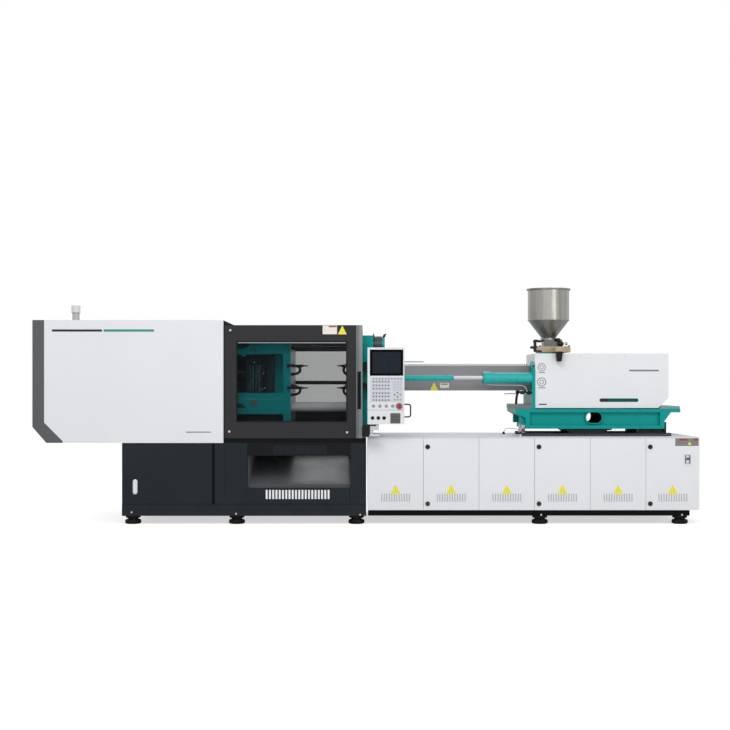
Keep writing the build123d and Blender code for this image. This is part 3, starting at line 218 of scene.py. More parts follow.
def makeDrawnMetal():
    # fine lines drawn along one direction, and a slow change of polish
    group, start, end = newGroup(
        "drawnMetal",
        [("Vector", "NodeSocketVector", None), ("Colour", "NodeSocketColor", None), ("Roughness", "NodeSocketFloat", 0.3),
         ("Lines", "NodeSocketVector", (300.0, 300.0, 4.0)), ("Contrast", "NodeSocketFloat", 0.12)],
        [("Colour", "NodeSocketColor"), ("Roughness", "NodeSocketFloat"), ("Height", "NodeSocketFloat")],
    )
    nodes, links = group.nodes, group.links
    stretch = nodes.new("ShaderNodeVectorMath")
    stretch.operation = "MULTIPLY"
    links.new(start.outputs["Vector"], stretch.inputs[0])
    links.new(start.outputs["Lines"], stretch.inputs[1])
    line = noiseNode(nodes, links, stretch.outputs[0], 1.0, 3.0, 0.7)
    cloud = noiseNode(nodes, links, start.outputs["Vector"], 5.0, 4.0)
    streak = mathNode(nodes, links, "MULTIPLY", line, start.outputs["Contrast"])
    links.new(blendColour(nodes, links, streak, start.outputs["Colour"], (0.03, 0.03, 0.03, 1)), end.inputs["Colour"])
    lined = spread(nodes, links, line, 0.2, 0.8, -0.06, 0.1)
    clouded = spread(nodes, links, cloud, 0.3, 0.7, -0.04, 0.06)
    rough = mathNode(nodes, links, "ADD", mathNode(nodes, links, "ADD", start.outputs["Roughness"], lined), clouded, True)
    links.new(rough, end.inputs["Roughness"])
    links.new(line, end.inputs["Height"])
    return group


def makeBoxMask():
    # 1 inside the box between two corners, 0 outside it
    group, start, end = newGroup(
        "boxMask",
        [("Vector", "NodeSocketVector", None), ("Low", "NodeSocketVector", (-9.0, -9.0, -9.0)), ("High", "NodeSocketVector", (9.0, 9.0, 9.0))],
        [("Mask", "NodeSocketFloat")],
    )
    nodes, links = group.nodes, group.links
    parts = []
    for title in ("Vector", "Low", "High"):
        split = nodes.new("ShaderNodeSeparateXYZ")
        links.new(start.outputs[title], split.inputs[0])
        parts.append(split.outputs)
    total = None
    for axis in range(3):
        above = mathNode(nodes, links, "GREATER_THAN", parts[0][axis], parts[1][axis])
        below = mathNode(nodes, links, "LESS_THAN", parts[0][axis], parts[2][axis])
        inside = mathNode(nodes, links, "MULTIPLY", above, below)
        total = inside if total is None else mathNode(nodes, links, "MULTIPLY", total, inside)
    links.new(total, end.inputs["Mask"])
    return group


sprayedCoat = makeTexturedPaint()
settledDust = makeSettledDust()
drawnMetal = makeDrawnMetal()
boxMask = makeBoxMask()


# materials
def placeGroup(nodes, links, group, values):
    node = nodes.new("ShaderNodeGroup")
    node.node_tree = group
    for title, value in values.items():
        if isinstance(value, (int, float, tuple)):
            node.inputs[title].default_value = value
        else:
            links.new(value, node.inputs[title])
    return node


def makeFinish(name, look):
    material = bpy.data.materials.new(name)
    material.use_nodes = True
    nodes, links = material.node_tree.nodes, material.node_tree.links
    shader = nodes["Principled BSDF"]
    place = nodes.new("ShaderNodeTexCoord").outputs["Object"]
    normal = nodes.new("ShaderNodeNewGeometry").outputs["Normal"]
    colour, rough, metal, alpha = look["colour"], look["rough"], look.get("metal", 0.0), 1.0
    for zone in look.get("zones", ()):
        mask = placeGroup(nodes, links, boxMask, {"Vector": place, "Low": zone["low"], "High": zone["high"]}).outputs["Mask"]
        colour = blendColour(nodes, links, mask, colour, zone["colour"])
        rough = blendValue(nodes, links, mask, rough, zone.get("rough", look["rough"]))
        if "metal" in zone:
            metal = blendValue(nodes, links, mask, metal, zone["metal"])
        if "alpha" in zone:
            alpha = blendValue(nodes, links, mask, alpha, zone["alpha"])
    if "lines" in look:
        skin = placeGroup(nodes, links, drawnMetal, {
            "Vector": place, "Colour": colour, "Roughness": rough, "Lines": look["lines"], "Contrast": look.get("contrast", 0.12)})
    else:
        skin = placeGroup(nodes, links, sprayedCoat, {
            "Vector": place, "Colour": colour, "Roughness": rough, "Peel Size": look.get("peel", 300.0), "Mottle": look.get("mottle", 0.04)})
    film = placeGroup(nodes, links, settledDust, {
        "Vector": place, "Normal": normal, "Colour": skin.outputs["Colour"], "Low": look.get("low", 0.22), "Film": look.get("film", 0.06)})
    links.new(film.outputs["Colour"], shader.inputs["Base Color"])
    dulled = mathNode(nodes, links, "MULTIPLY", film.outputs["Mask"], 0.35)
    links.new(mathNode(nodes, links, "ADD", skin.outputs["Roughness"], dulled, True), shader.inputs["Roughness"])
    if isinstance(metal, float):
        shader.inputs["Metallic"].default_value = metal
    else:
        links.new(metal, shader.inputs["Metallic"])
    if not isinstance(alpha, float):
        links.new(alpha, shader.inputs["Alpha"])
    bump = nodes.new("ShaderNodeBump")
    bump.inputs["Strength"].default_value = look.get("bump", 0.12)
    bump.inputs["Distance"].default_value = look.get("depth", 0.0004)
    height = skin.outputs["Height"]
    if "ribs" in look:
        height = ribHeight(nodes, links, place, height, look["ribs"])
    links.new(height, bump.inputs["Height"])
    links.new(bump.outputs["Normal"], shader.inputs["Normal"])
    shader.inputs["Coat Weight"].default_value = look.get("coat", 0.0)
    shader.inputs["Coat Roughness"].default_value = 0.12
    shader.inputs["Specular IOR Level"].default_value = look.get("shine", 0.5)
    material.diffuse_color = look["colour"]
    return material


def ribHeight(nodes, links, place, height, ribs):
    # regular grooves along one axis, kept to a box
    split = nodes.new("ShaderNodeSeparateXYZ")
    links.new(place, split.inputs[0])
    turns = mathNode(nodes, links, "MULTIPLY", split.outputs[ribs["axis"]], 2 * math.pi / ribs["pitch"])
    wave = mathNode(nodes, links, "SINE", turns, 0.0)
    groove = mathNode(nodes, links, "MULTIPLY", mathNode(nodes, links, "GREATER_THAN", wave, ribs["share"]), ribs["height"])
    mask = placeGroup(nodes, links, boxMask, {"Vector": place, "Low": ribs["low"], "High": ribs["high"]}).outputs["Mask"]
    return mathNode(nodes, links, "ADD", height, mathNode(nodes, links, "MULTIPLY", groove, mask))


teal = rgb(1, 150, 144)
tealLook = {"colour": teal, "rough": 0.36, "peel": 160.0, "bump": 0.14, "mottle": 0.08, "shine": 0.12, "low": 0.0, "film": 0.01}
# the beam's dark zone is painted shade on the walls inside its lifting hole
beamLook = {**tealLook, "zones": [{"low": (2.9, -0.3146, 1.3), "high": (3.3, 0.605, 1.5), "colour": rgb(8, 20, 24)}]}
steelFace = rgb(168, 172, 174)
whiteLook = {"colour": rgb(228, 230, 234), "rough": 0.42, "mottle": 0.025, "shine": 0.35, "low": 0.03, "film": 0.02}
black = rgb(22, 22, 24)
chromeColour = rgb(214, 216, 220)
finishes = {
    "tealPaint": tealLook,
    "whitePaint": whiteLook,
    "breakerDoorPaint": {**whiteLook, "zones": [{"low": (4.209, -0.76, 0.80), "high": (4.28, -0.7355, 0.916), "colour": rgb(12, 12, 14), "rough": 0.4}]},
    "beamPaint": beamLook,
    # painted light: the moving platen's teal is a lighter copy of the frame teal, brightened for the platen seen behind
    # the window
    "movingPlatenPaint": {**tealLook, "colour": rgb(6, 166, 170), "zones": [{"low": (-1.0125, -1, 1), "high": (-1.0, 2, 3), "colour": steelFace, "rough": 0.35, "metal": 0.7}]},
    "fixedPlatenPaint": {**tealLook, "zones": [{"low": (-0.3, -1, 1), "high": (-0.2325, 2, 3), "colour": steelFace, "rough": 0.35, "metal": 0.7}]},
    "barrelPlatePaint": {**tealLook, "zones": [{"low": (1.9, -1, 1.51), "high": (2.2405, 2, 1.578), "colour": rgb(116, 122, 124), "rough": 0.4}]},
    # painted light: a lighter teal copy for the lit carriage cylinders and the lit ledge on the nut housing
    "litTeal": {"colour": rgb(20, 172, 168), "rough": 0.28, "peel": 200.0, "bump": 0.06, "mottle": 0.04, "shine": 0.45, "film": 0.0},
    "valvePaint": {"colour": rgb(52, 84, 92), "rough": 0.5, "mottle": 0.6, "peel": 90.0, "bump": 0.3, "shine": 0.2, "film": 0.0},
    "valveTube": {"colour": rgb(92, 126, 134), "rough": 0.35, "mottle": 0.2, "peel": 120.0, "shine": 0.3, "film": 0.0},
    "greyCable": {"colour": rgb(112, 110, 110), "rough": 0.5, "peel": 500.0, "mottle": 0.1, "film": 0.0},
    "seamShade": {"colour": rgb(13, 15, 18), "rough": 0.6, "mottle": 0.05, "shine": 0.05, "low": 0.0, "film": 0.0},
    "basePaint": {"colour": rgb(36, 42, 48), "rough": 0.45, "mottle": 0.1, "shine": 0.1, "low": 0.02, "film": 0.01, "zones": [
        {"low": (-1.565, -0.72, 0.40), "high": (-0.20, 1.01, 1.08), "colour": rgb(120, 123, 128), "rough": 0.5},
        {"low": (-3.084, -0.76, 0.39), "high": (-3.021, -0.7352, 0.60), "colour": rgb(236, 238, 240), "rough": 0.2},
        {"low": (-1.574, -0.7352, 0.907), "high": (-0.207, -0.7, 1.0762), "colour": rgb(22, 25, 28), "rough": 0.5},
        # painted shadow: the top band of the base is black for the shade under the door and the cover
        {"low": (-3.3, -0.76, 1.0765), "high": (0.1, 1.06, 1.2), "colour": rgb(12, 13, 14), "rough": 0.5}]},
    "doorPaint": {"colour": rgb(48, 48, 51), "rough": 0.45, "mottle": 0.05, "shine": 0.14, "low": 0.0, "film": 0.02, "zones": [
        {"low": (-0.133, -0.8, 1.1), "high": (-0.094, 1.1, 2.7), "colour": rgb(116, 120, 122), "rough": 0.36},
        {"low": (-0.094, -0.8, 1.1), "high": (0.0, 1.1, 2.7), "colour": rgb(142, 145, 146), "rough": 0.36},
        {"low": (-0.1165, -0.74, 1.52), "high": (-0.0698, -0.7, 2.02), "colour": rgb(18, 18, 20), "rough": 0.35}]},
    "rearDoorPaint": {"colour": rgb(40, 40, 43), "rough": 0.45, "mottle": 0.05, "shine": 0.14, "film": 0.02, "zones": [
        {"low": (-1.7081, 0.90, 1.493), "high": (-0.2609, 1.2, 1.85), "colour": rgb(150, 154, 158), "rough": 0.2, "alpha": 0.24},
        {"low": (-1.7081, 0.90, 1.902), "high": (-0.2609, 1.2, 2.357), "colour": rgb(150, 154, 158), "rough": 0.2, "alpha": 0.24}]},
    "framePaint": {"colour": rgb(42, 43, 46), "rough": 0.45, "mottle": 0.06, "shine": 0.14, "film": 0.02},
    "trimPaint": {"colour": rgb(92, 93, 96), "rough": 0.42, "mottle": 0.04, "shine": 0.2, "low": 0.0, "film": 0.02},
    "greyPaint": {"colour": rgb(144, 143, 146), "rough": 0.5, "mottle": 0.05, "shine": 0.25, "film": 0.02},
    "cylinderPaint": {"colour": rgb(52, 66, 70), "rough": 0.38, "peel": 200.0, "mottle": 0.1, "shine": 0.3, "zones": [
        {"low": (0.213, -1.0, 0.0), "high": (0.4, 1.3, 3.0), "colour": teal, "rough": 0.34}]},
    # the hopper's coarse dark vertical streaks are partly brushed grain and partly painted reflection bands
    "stainless": {"colour": rgb(186, 184, 178), "rough": 0.34, "metal": 1.0, "lines": (16.0, 16.0, 0.25), "contrast": 0.75, "bump": 0.1, "low": 0.0, "film": 0.0},
    "rodChrome": {"colour": chromeColour, "rough": 0.1, "metal": 1.0, "lines": (300.0, 3.0, 3.0), "contrast": 0.05, "bump": 0.03, "low": 0.0, "film": 0.0},
    "tieBarSteel": {"colour": chromeColour, "rough": 0.14, "metal": 1.0, "lines": (300.0, 3.0, 3.0), "contrast": 0.06, "bump": 0.5, "depth": 0.004, "film": 0.0,
        "ribs": {"axis": 0, "pitch": 0.03, "share": 0.1, "height": -1.0, "low": (-2.85, -2.0, 0.0), "high": (-1.66, 2.0, 3.0)}, "zones": [
        # painted shade: the upper tie bars a dark grey; painted highlight: the lower tie bars a plain bright white
        {"low": (-3.0, -1.0, 2.3), "high": (0.1, 1.0, 2.5), "colour": rgb(84, 88, 92), "rough": 0.3},
        {"low": (-3.0, -1.0, 1.4), "high": (0.1, 1.0, 1.7), "colour": rgb(240, 241, 243), "rough": 0.3, "metal": 0.0}]},
    "carriageRods": {"colour": rgb(24, 172, 166), "rough": 0.28, "metal": 0.0, "peel": 200.0, "shine": 0.3, "film": 0.0, "zones": [
        {"low": (1.189, -2.0, 0.0), "high": (3.0, 2.0, 3.0), "colour": chromeColour, "rough": 0.1, "metal": 1.0}]},
    "brightSteel": {"colour": rgb(172, 174, 178), "rough": 0.28, "metal": 1.0, "lines": (4.0, 260.0, 260.0), "contrast": 0.2, "bump": 0.1},
    "sheetZinc": {"colour": rgb(166, 168, 170), "rough": 0.42, "metal": 0.85, "lines": (180.0, 6.0, 6.0), "contrast": 0.18, "bump": 0.1, "zones": [
        {"low": (-1.6, -0.7, 0.4), "high": (-0.2, -0.6745, 1.0), "colour": rgb(70, 73, 78), "rough": 0.5, "metal": 0.2}]},
    "darkSteel": {"colour": rgb(26, 27, 30), "rough": 0.45, "metal": 0.2, "peel": 90.0, "mottle": 0.2, "bump": 0.2, "shine": 0.2, "film": 0.03},
    "railSteel": {"colour": rgb(20, 21, 24), "rough": 0.35, "metal": 0.4, "peel": 120.0, "mottle": 0.1, "film": 0.0, "zones": [
        {"low": (2.0, -1.0, 1.166), "high": (4.3, 1.0, 1.176), "colour": rgb(66, 68, 76), "rough": 0.3}]},
    "heaterSkin": {"colour": rgb(150, 150, 148), "rough": 0.35, "metal": 1.0, "lines": (3.0, 90.0, 90.0), "contrast": 0.25, "bump": 0.1,
        "ribs": {"axis": 0, "pitch": 0.14, "share": 0.93, "height": -1.0, "low": (0.0, -2.0, 0.0), "high": (3.0, 2.0, 3.0)}},
    "creamPaint": {"colour": rgb(186, 170, 142), "rough": 0.42, "shine": 0.2, "mottle": 0.15, "low": 0.0, "film": 0.0, "zones": [
        {"low": (2.5, -0.5, 2.0), "high": (2.7, -0.3, 2.2915), "colour": rgb(5, 5, 7), "rough": 0.4},
        {"low": (2.44, 0.0, 2.3712), "high": (2.71, 0.5, 2.6), "colour": rgb(104, 108, 100), "rough": 0.35, "metal": 0.4}]},
    "injectionBasePaint": {"colour": rgb(230, 232, 236), "rough": 0.42, "mottle": 0.03, "shine": 0.1, "low": 0.0, "film": 0.01, "zones": [
        {"low": (0.0, -2.0, 0.0), "high": (4.5, 2.0, 0.1851), "colour": rgb(5, 5, 6), "rough": 0.6}]},
    "blackRubber": {"colour": rgb(14, 14, 15), "rough": 0.55, "peel": 500.0, "mottle": 0.1, "shine": 0.2, "film": 0.04},
    "blackPlastic": {"colour": rgb(20, 20, 22), "rough": 0.35, "peel": 700.0, "mottle": 0.04, "shine": 0.25},
    "palePlastic": {"colour": rgb(214, 215, 212), "rough": 0.3, "peel": 600.0, "mottle": 0.03, "coat": 0.3, "zones": [
        {"low": (-4.0, -1.0, 2.7), "high": (-3.7, 0.0, 2.795), "colour": rgb(176, 178, 178)},
        {"low": (-4.0, -1.0, 2.797), "high": (-3.7, 0.0, 2.803), "colour": rgb(120, 122, 124)}]},
    "greyPlastic": {"colour": rgb(150, 153, 158), "rough": 0.35, "peel": 600.0, "mottle": 0.03},
    "panelPaint": {"colour": rgb(224, 225, 229), "rough": 0.4, "mottle": 0.02, "shine": 0.2, "low": 0.0, "film": 0.0, "zones": [
        {"low": (0.05, -1.02, 1.618), "high": (0.478, -1.0045, 1.945), "colour": rgb(206, 209, 215)},
        {"low": (0.4972, -1.2, 1.3), "high": (0.7, -0.8, 1.7), "colour": rgb(14, 14, 16), "rough": 0.4},
        {"low": (0.0, -1.02, 1.38), "high": (0.3, -1.0052, 1.45), "colour": rgb(12, 12, 14), "rough": 0.25},
        {"low": (0.047, -1.02, 1.962), "high": (0.481, -0.998, 2.302), "colour": rgb(10, 10, 12), "rough": 0.12}]},
    "armPaint": {"colour": rgb(200, 202, 206), "rough": 0.4, "shine": 0.2, "film": 0.0},
    "redPlastic": {"colour": rgb(158, 26, 32), "rough": 0.24, "peel": 700.0, "mottle": 0.03, "coat": 0.4, "zones": [
        {"low": (0.3, -1.024, 1.4), "high": (0.6, -0.9, 1.7), "colour": rgb(40, 40, 42)}]},
    "footSteel": {"colour": rgb(8, 8, 9), "rough": 0.5, "metal": 0.0, "peel": 120.0, "mottle": 0.1, "bump": 0.2, "low": 0.04, "shine": 0.12, "film": 0.01},
}
made = {name: makeFinish(name, look) for name, look in finishes.items()}


def makeClearPane():
    # polycarbonate sheet: see-through with a soft gloss and a few wiping marks
    material = bpy.data.materials.new("clearPane")
    material.use_nodes = True
    nodes, links = material.node_tree.nodes, material.node_tree.links
    shader = nodes["Principled BSDF"]
    place = nodes.new("ShaderNodeTexCoord").outputs["Object"]
    marks = placeGroup(nodes, links, drawnMetal, {
        "Vector": place, "Colour": rgb(14, 20, 24), "Roughness": 0.08, "Lines": (3.0, 3.0, 40.0), "Contrast": 0.05})
    links.new(marks.outputs["Colour"], shader.inputs["Base Color"])
    links.new(marks.outputs["Roughness"], shader.inputs["Roughness"])
    shader.inputs["Alpha"].default_value = 0.28
    shader.inputs["IOR"].default_value = 1.5
    shader.inputs["Specular IOR Level"].default_value = 0.1
    return material


made["clearPane"] = makeClearPane()
nodeFinish = {
    "levelling_feet": "footSteel", "clamp_base": "basePaint", "drop_chute": "sheetZinc",
    "clamp_front_guard": "whitePaint", "clamp_rear_guard": "whitePaint", "clamp_end_guard": "trimPaint",
    "signal_beacon": "palePlastic", "door_frame": "framePaint", "front_door": "doorPaint", "front_window": "clearPane",
    "rear_door": "rearDoorPaint", "fixed_platen": "fixedPlatenPaint", "moving_platen": "movingPlatenPaint", "tie_bars": "tieBarSteel",
    "front_half_nuts": "darkSteel", "rear_half_nuts": "darkSteel", "clamp_cylinders": "cylinderPaint",
    "bed_rails": "brightSteel", "platen_shoes": "darkSteel", "travel_cylinders": "darkSteel", "travel_rods": "rodChrome",
    "ejector": "brightSteel", "ejector_cylinder": "darkSteel", "moving_platen_hoses": "blackRubber",
    "fixed_platen_hoses": "blackRubber", "injection_base": "injectionBasePaint", "injection_rails": "railSteel",
    "slide_blocks": "darkSteel", "injection_beam": "beamPaint", "barrel_plate": "barrelPlatePaint", "injection_cover": "whitePaint",
    "carriage_rods": "carriageRods", "carriage_cylinders": "litTeal", "barrel": "darkSteel", "heater_bands": "heaterSkin",
    "nozzle": "brightSteel", "screw": "brightSteel", "throat_block": "tealPaint", "thrust_unit": "darkSteel",
    "injection_cylinders": "tealPaint", "hopper_seat": "creamPaint", "hopper_gate": "brightSteel", "hopper": "stainless",
    "barrel_cover": "greyPaint", "purge_guard": "greyPaint", "panel_arm": "armPaint", "control_panel": "panelPaint",
    "emergency_stop": "redPlastic", "breaker_toggle": "blackPlastic",
}
for number in range(1, 7):
    nodeFinish[f"cabinet_door_{number}"] = "whitePaint" if number < 6 else "breakerDoorPaint"
for number in range(1, 5):
    nodeFinish[f"push_button_{number}"] = "greyPlastic"
for name, finish in nodeFinish.items():
    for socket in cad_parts[name].material_slots:
        socket.material = made[finish]
cableObject.data.materials.append(made["greyCable"])
print("materials on the solids:", len(made))


# mesh tools
def finishPiece(name, bm, finish, body, bevel=0.0, smooth=30):
    bmesh.ops.recalc_face_normals(bm, faces=bm.faces)
    mesh = bpy.data.meshes.new(name)
    bm.to_mesh(mesh)
    bm.free()
    mesh.materials.append(made[finish])
    for face in mesh.polygons:
        face.use_smooth = True
    mesh.set_sharp_from_angle(angle=math.radians(smooth))
    piece = bpy.data.objects.new(name, mesh)
    bpy.context.scene.collection.objects.link(piece)
    if bevel:
        rounding = piece.modifiers.new("softEdge", "BEVEL")
        rounding.width = bevel
        rounding.segments = 2
        rounding.limit_method = "ANGLE"
        rounding.harden_normals = False
    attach(piece, body)
    return piece


def addPrism(bm, points, frontY, backY):
    # an outline of (x, z) points between two depths
    front = [bm.verts.new((x, frontY, z)) for x, z in points]
    back = [bm.verts.new((x, backY, z)) for x, z in points]
    bm.faces.new(front)
    bm.faces.new(back[::-1])
    for index in range(len(points)):
        after = (index + 1) % len(points)
        bm.faces.new((front[index], back[index], back[after], front[after]))


def boxPoints(x0, x1, z0, z1, corner=0.0, steps=3):
    if not corner:
        return [(x0, z0), (x1, z0), (x1, z1), (x0, z1)]
    points = []
    for midX, midZ, begin in ((x1 - corner, z0 + corner, -90), (x1 - corner, z1 - corner, 0), (x0 + corner, z1 - corner, 90), (x0 + corner, z0 + corner, 180)):
        for step in range(steps + 1):
            angle = math.radians(begin + 90 * step / steps)
            points.append((midX + corner * math.cos(angle), midZ + corner * math.sin(angle)))
    return points


def trianglePoints(x, z0, width, height, corner):
    tips = [Vector((x - width / 2, z0)), Vector((x + width / 2, z0)), Vector((x, z0 + height))]
    points = []
    for index, tip in enumerate(tips):
        before = (tips[index - 1] - tip).normalized()
        after = (tips[(index + 1) % 3] - tip).normalized()
        for step in range(4):
            share = step / 3
            way = before * (1 - share) ** 2 + after * share ** 2
            points.append(tuple(tip + way * corner * 2))
    return points


def addLathe(bm, profile, centre, axis, segments=24):
    # a turned piece: profile is (radius, way along the axis)
    turn = Vector(axis).to_track_quat("Z", "Y").to_matrix()
    rings = []
    for radius, along in profile:
        if radius < 1e-6:
            rings.append([bm.verts.new(turn @ Vector((0, 0, along)) + Vector(centre))])
            continue
        ring = []
        for step in range(segments):
            angle = 2 * math.pi * step / segments
            ring.append(bm.verts.new(turn @ Vector((radius * math.cos(angle), radius * math.sin(angle), along)) + Vector(centre)))
        rings.append(ring)
    for first, second in zip(rings, rings[1:]):
        for step in range(segments):
            after = (step + 1) % segments
            if len(first) == 1:
                bm.faces.new((first[0], second[step], second[after]))
            elif len(second) == 1:
                bm.faces.new((first[step], first[after], second[0]))
            else:
                bm.faces.new((first[step], first[after], second[after], second[step]))


def addScrew(bm, centre, axis, radius, segments=16):
    # a socket screw: turned head with a sunk hexagon
    addLathe(bm, [(0, -radius * 0.2), (radius, -radius * 0.2), (radius, radius * 0.42), (radius * 0.86, radius * 0.55), (radius * 0.5, radius * 0.55), (radius * 0.46, radius * 0.2), (0, radius * 0.2)], centre, axis, segments)


def addBlock(bm, low, high):
    addPrism(bm, boxPoints(low[0], high[0], low[2], high[2]), low[1], high[1])


def makeHose(name, points, radius, finish, body, smoothness=4):
    curve = bpy.data.curves.new(name, "CURVE")
    curve.dimensions = "3D"
    curve.bevel_depth = radius
    curve.bevel_resolution = 3
    curve.resolution_u = 10
    curve.use_fill_caps = True
    spline = curve.splines.new("NURBS")
    spline.points.add(len(points) - 1)
    for point, place in zip(spline.points, points):
        point.co = (*place, 1)
    spline.order_u = min(smoothness, len(points))
    spline.use_endpoint_u = True
    curve.materials.append(made[finish])
    hose = bpy.data.objects.new(name, curve)
    bpy.context.scene.collection.objects.link(hose)
    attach(hose, body)
    return hose


# levelling feet
feet = {"clampX": (-3.099, -1.719, -0.13), "baseX": (2.307, 4.169), "inset": 0.76, "pad": 0.107, "sides": 40}


def makeFeet(look):
    bm = bmesh.new()
    pad = look["pad"]
    for x in look["clampX"] + look["baseX"]:
        for side in (-1, 1):
            centre = (x, axisY + side * look["inset"], 0)
            addLathe(bm, [(0, 0), (pad * 0.8, 0), (pad * 0.96, 0.008), (pad, 0.022), (pad, 0.04), (pad * 0.92, 0.054), (pad * 0.66, 0.063), (pad * 0.66, 0.079), (0, 0.079)], centre, (0, 0, 1), look["sides"])
            addLathe(bm, [(0, 0.08), (pad * 0.88, 0.08), (pad * 0.93, 0.085), (pad * 0.93, 0.1118), (0, 0.1118)], centre, (0, 0, 1), 12)
    piece = finishPiece("turnedFeet", bm, "footSteel", "frame")
    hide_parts("levelling_feet")


makeFeet(feet)

# front door
door = {"frontY": -0.723, "screws": ((-1.797, 2.565), (-1.81, 1.226), (-0.253, 1.215)), "screwRadius": 0.015,
    "card": (-0.576, -0.386, 2.512, 2.628), "triangleX": -0.316, "triangleZ": 2.51, "triangleSize": 0.118}


def makeDoorDetails(look):
    y = look["frontY"]
    bm = bmesh.new()
    for x, z in look["screws"]:
        addScrew(bm, (x, y, z), (0, -1, 0), look["screwRadius"])
    finishPiece("doorScrews", bm, "palePlastic", "front_sliding_door")
    bm = bmesh.new()
    x0, x1, z0, z1 = look["card"]
    addPrism(bm, boxPoints(x0, x1, z0, z1, 0.006), y - 0.0015, y + 0.002)
    finishPiece("doorCard", bm, "cardPaint", "front_sliding_door", 0.0004)
    bm = bmesh.new()
    addPrism(bm, boxPoints(x0 + 0.08, x1 - 0.006, z1 - 0.024, z1 - 0.005, 0.003), y - 0.0022, y - 0.0012)
    finishPiece("doorCardBand", bm, "redPrint", "front_sliding_door")
    bm = bmesh.new()
    size = look["triangleSize"]
    addPrism(bm, trianglePoints(look["triangleX"], look["triangleZ"], size, size, 0.008), y - 0.0015, y + 0.002)
    finishPiece("doorTriangle", bm, "yellowPrint", "front_sliding_door", 0.0004)
    # the seal that holds the pane
    bm = bmesh.new()
    addFrame(bm, (-1.712, -0.257, 1.356, 2.416), 0.009, y - 0.0015, y + 0.004)
    finishPiece("windowSeal", bm, "blackRubber", "front_sliding_door", 0.001)
    # the light strip along the head of the window
    bm = bmesh.new()
    addBlock(bm, (-1.70, y + 0.008, 2.394), (-0.27, y + 0.024, 2.407))
    finishPiece("windowHeadStrip", bm, "brightSteel", "front_sliding_door", 0.002)


def addFrame(bm, outline, width, frontY, backY):
    # a flat ring of four bars round an opening
    x0, x1, z0, z1 = outline
    addBlock(bm, (x0 - width, frontY, z0 - width), (x1 + width, backY, z0 + width))
    addBlock(bm, (x0 - width, frontY, z1 - width), (x1 + width, backY, z1 + width))
    addBlock(bm, (x0 - width, frontY, z0 + width), (x0 + width, backY, z1 - width))
    addBlock(bm, (x1 - width, frontY, z0 + width), (x1 + width, backY, z1 - width))


for name, look in {
    "cardPaint": {"colour": rgb(232, 228, 218), "rough": 0.4, "mottle": 0.03},
    "redPrint": {"colour": rgb(150, 44, 50), "rough": 0.4, "mottle": 0.05},
    "yellowPrint": {"colour": rgb(236, 226, 70), "rough": 0.38, "mottle": 0.05},
    "tealPrint": {"colour": rgb(20, 140, 132), "rough": 0.4, "mottle": 0.03},
    "blackPrint": {"colour": rgb(18, 18, 20), "rough": 0.4, "mottle": 0.03},
    "greyPrint": {"colour": rgb(120, 122, 126), "rough": 0.4, "mottle": 0.03},
    "slotShadeGrey": {"colour": rgb(176, 178, 182), "rough": 0.5, "mottle": 0.03},
    "endGrey": {"colour": rgb(122, 120, 116), "rough": 0.45, "mottle": 0.05},
    "shadeTeal": {"colour": rgb(16, 84, 78), "rough": 0.5, "mottle": 0.05, "shine": 0.1},
    "lightPrint": {"colour": rgb(204, 206, 212), "rough": 0.4, "mottle": 0.03},
    "bezel": {"colour": rgb(3, 3, 4), "rough": 0.4, "peel": 500.0, "mottle": 0.02, "bump": 0.02, "shine": 0.04, "low": 0.0, "film": 0.0},
    "screenGlass": {"colour": rgb(33, 41, 48), "rough": 0.25, "peel": 40.0, "mottle": 0.08, "bump": 0.01, "shine": 0.06, "low": 0.0, "film": 0.0},
    "keyCap": {"colour": rgb(190, 193, 200), "rough": 0.38, "peel": 700.0, "mottle": 0.02},
    "keyMark": {"colour": rgb(118, 118, 124), "rough": 0.42, "mottle": 0.02},
}.items():
    made[name] = makeFinish(name, look)
makeDoorDetails(door)
print("door details made")

# clamp cover
cover = {"frontY": -0.755, "blackBar": (-4.147, -3.486, 2.545, 2.575), "tealBar": (-3.466, -2.80, 2.545, 2.575), "greyBar": (-2.378, -2.048, 1.212, 1.226),
    "screwX": (-4.22, -3.05, -1.92), "screwZ": (2.66, 1.4), "screwRadius": 0.008}


def makeCoverDetails(look):
    y = look["frontY"]
    for name, finish in (("blackBar", "blackPrint"), ("tealBar", "tealPrint"), ("greyBar", "greyPrint")):
        bm = bmesh.new()
        addPrism(bm, boxPoints(*look[name], 0.006), y - 0.0008, y + 0.001)
        finishPiece("cover" + name[0].upper() + name[1:], bm, finish, "frame")
    bm = bmesh.new()
    for x in look["screwX"]:
        addScrew(bm, (x, y, look["screwZ"][0]), (0, -1, 0), look["screwRadius"])
        addScrew(bm, (x, 2 * axisY - y, look["screwZ"][0]), (0, 1, 0), look["screwRadius"])
    finishPiece("coverScrews", bm, "whitePaint", "frame")


makeCoverDetails(cover)

# clamp base
made["ventWhite"] = makeFinish("ventWhite", {"colour": rgb(244, 245, 246), "rough": 0.5, "mottle": 0.02, "low": 0.0, "film": 0.0})
base = {"frontY": -0.735, "louvreX": (-1.23, -0.52), "louvreZ": (0.925, 1.045), "louvres": 24,
    "bolts": ((-3.099, 0.16), (-1.719, 0.141), (-0.08, 0.128)), "vents": (-1.327, 0.043, 0.0248, 20, 0.3345, 0.4545),
    "seams": ((-2.036, -2.002, 0.268, 1.074), (-1.872, -1.866, 0.115, 0.26), (-1.577, -1.571, 0.115, 0.26), (-0.216, -0.21, 0.115, 0.9), (-3.225, -0.003, 0.262, 0.269))}


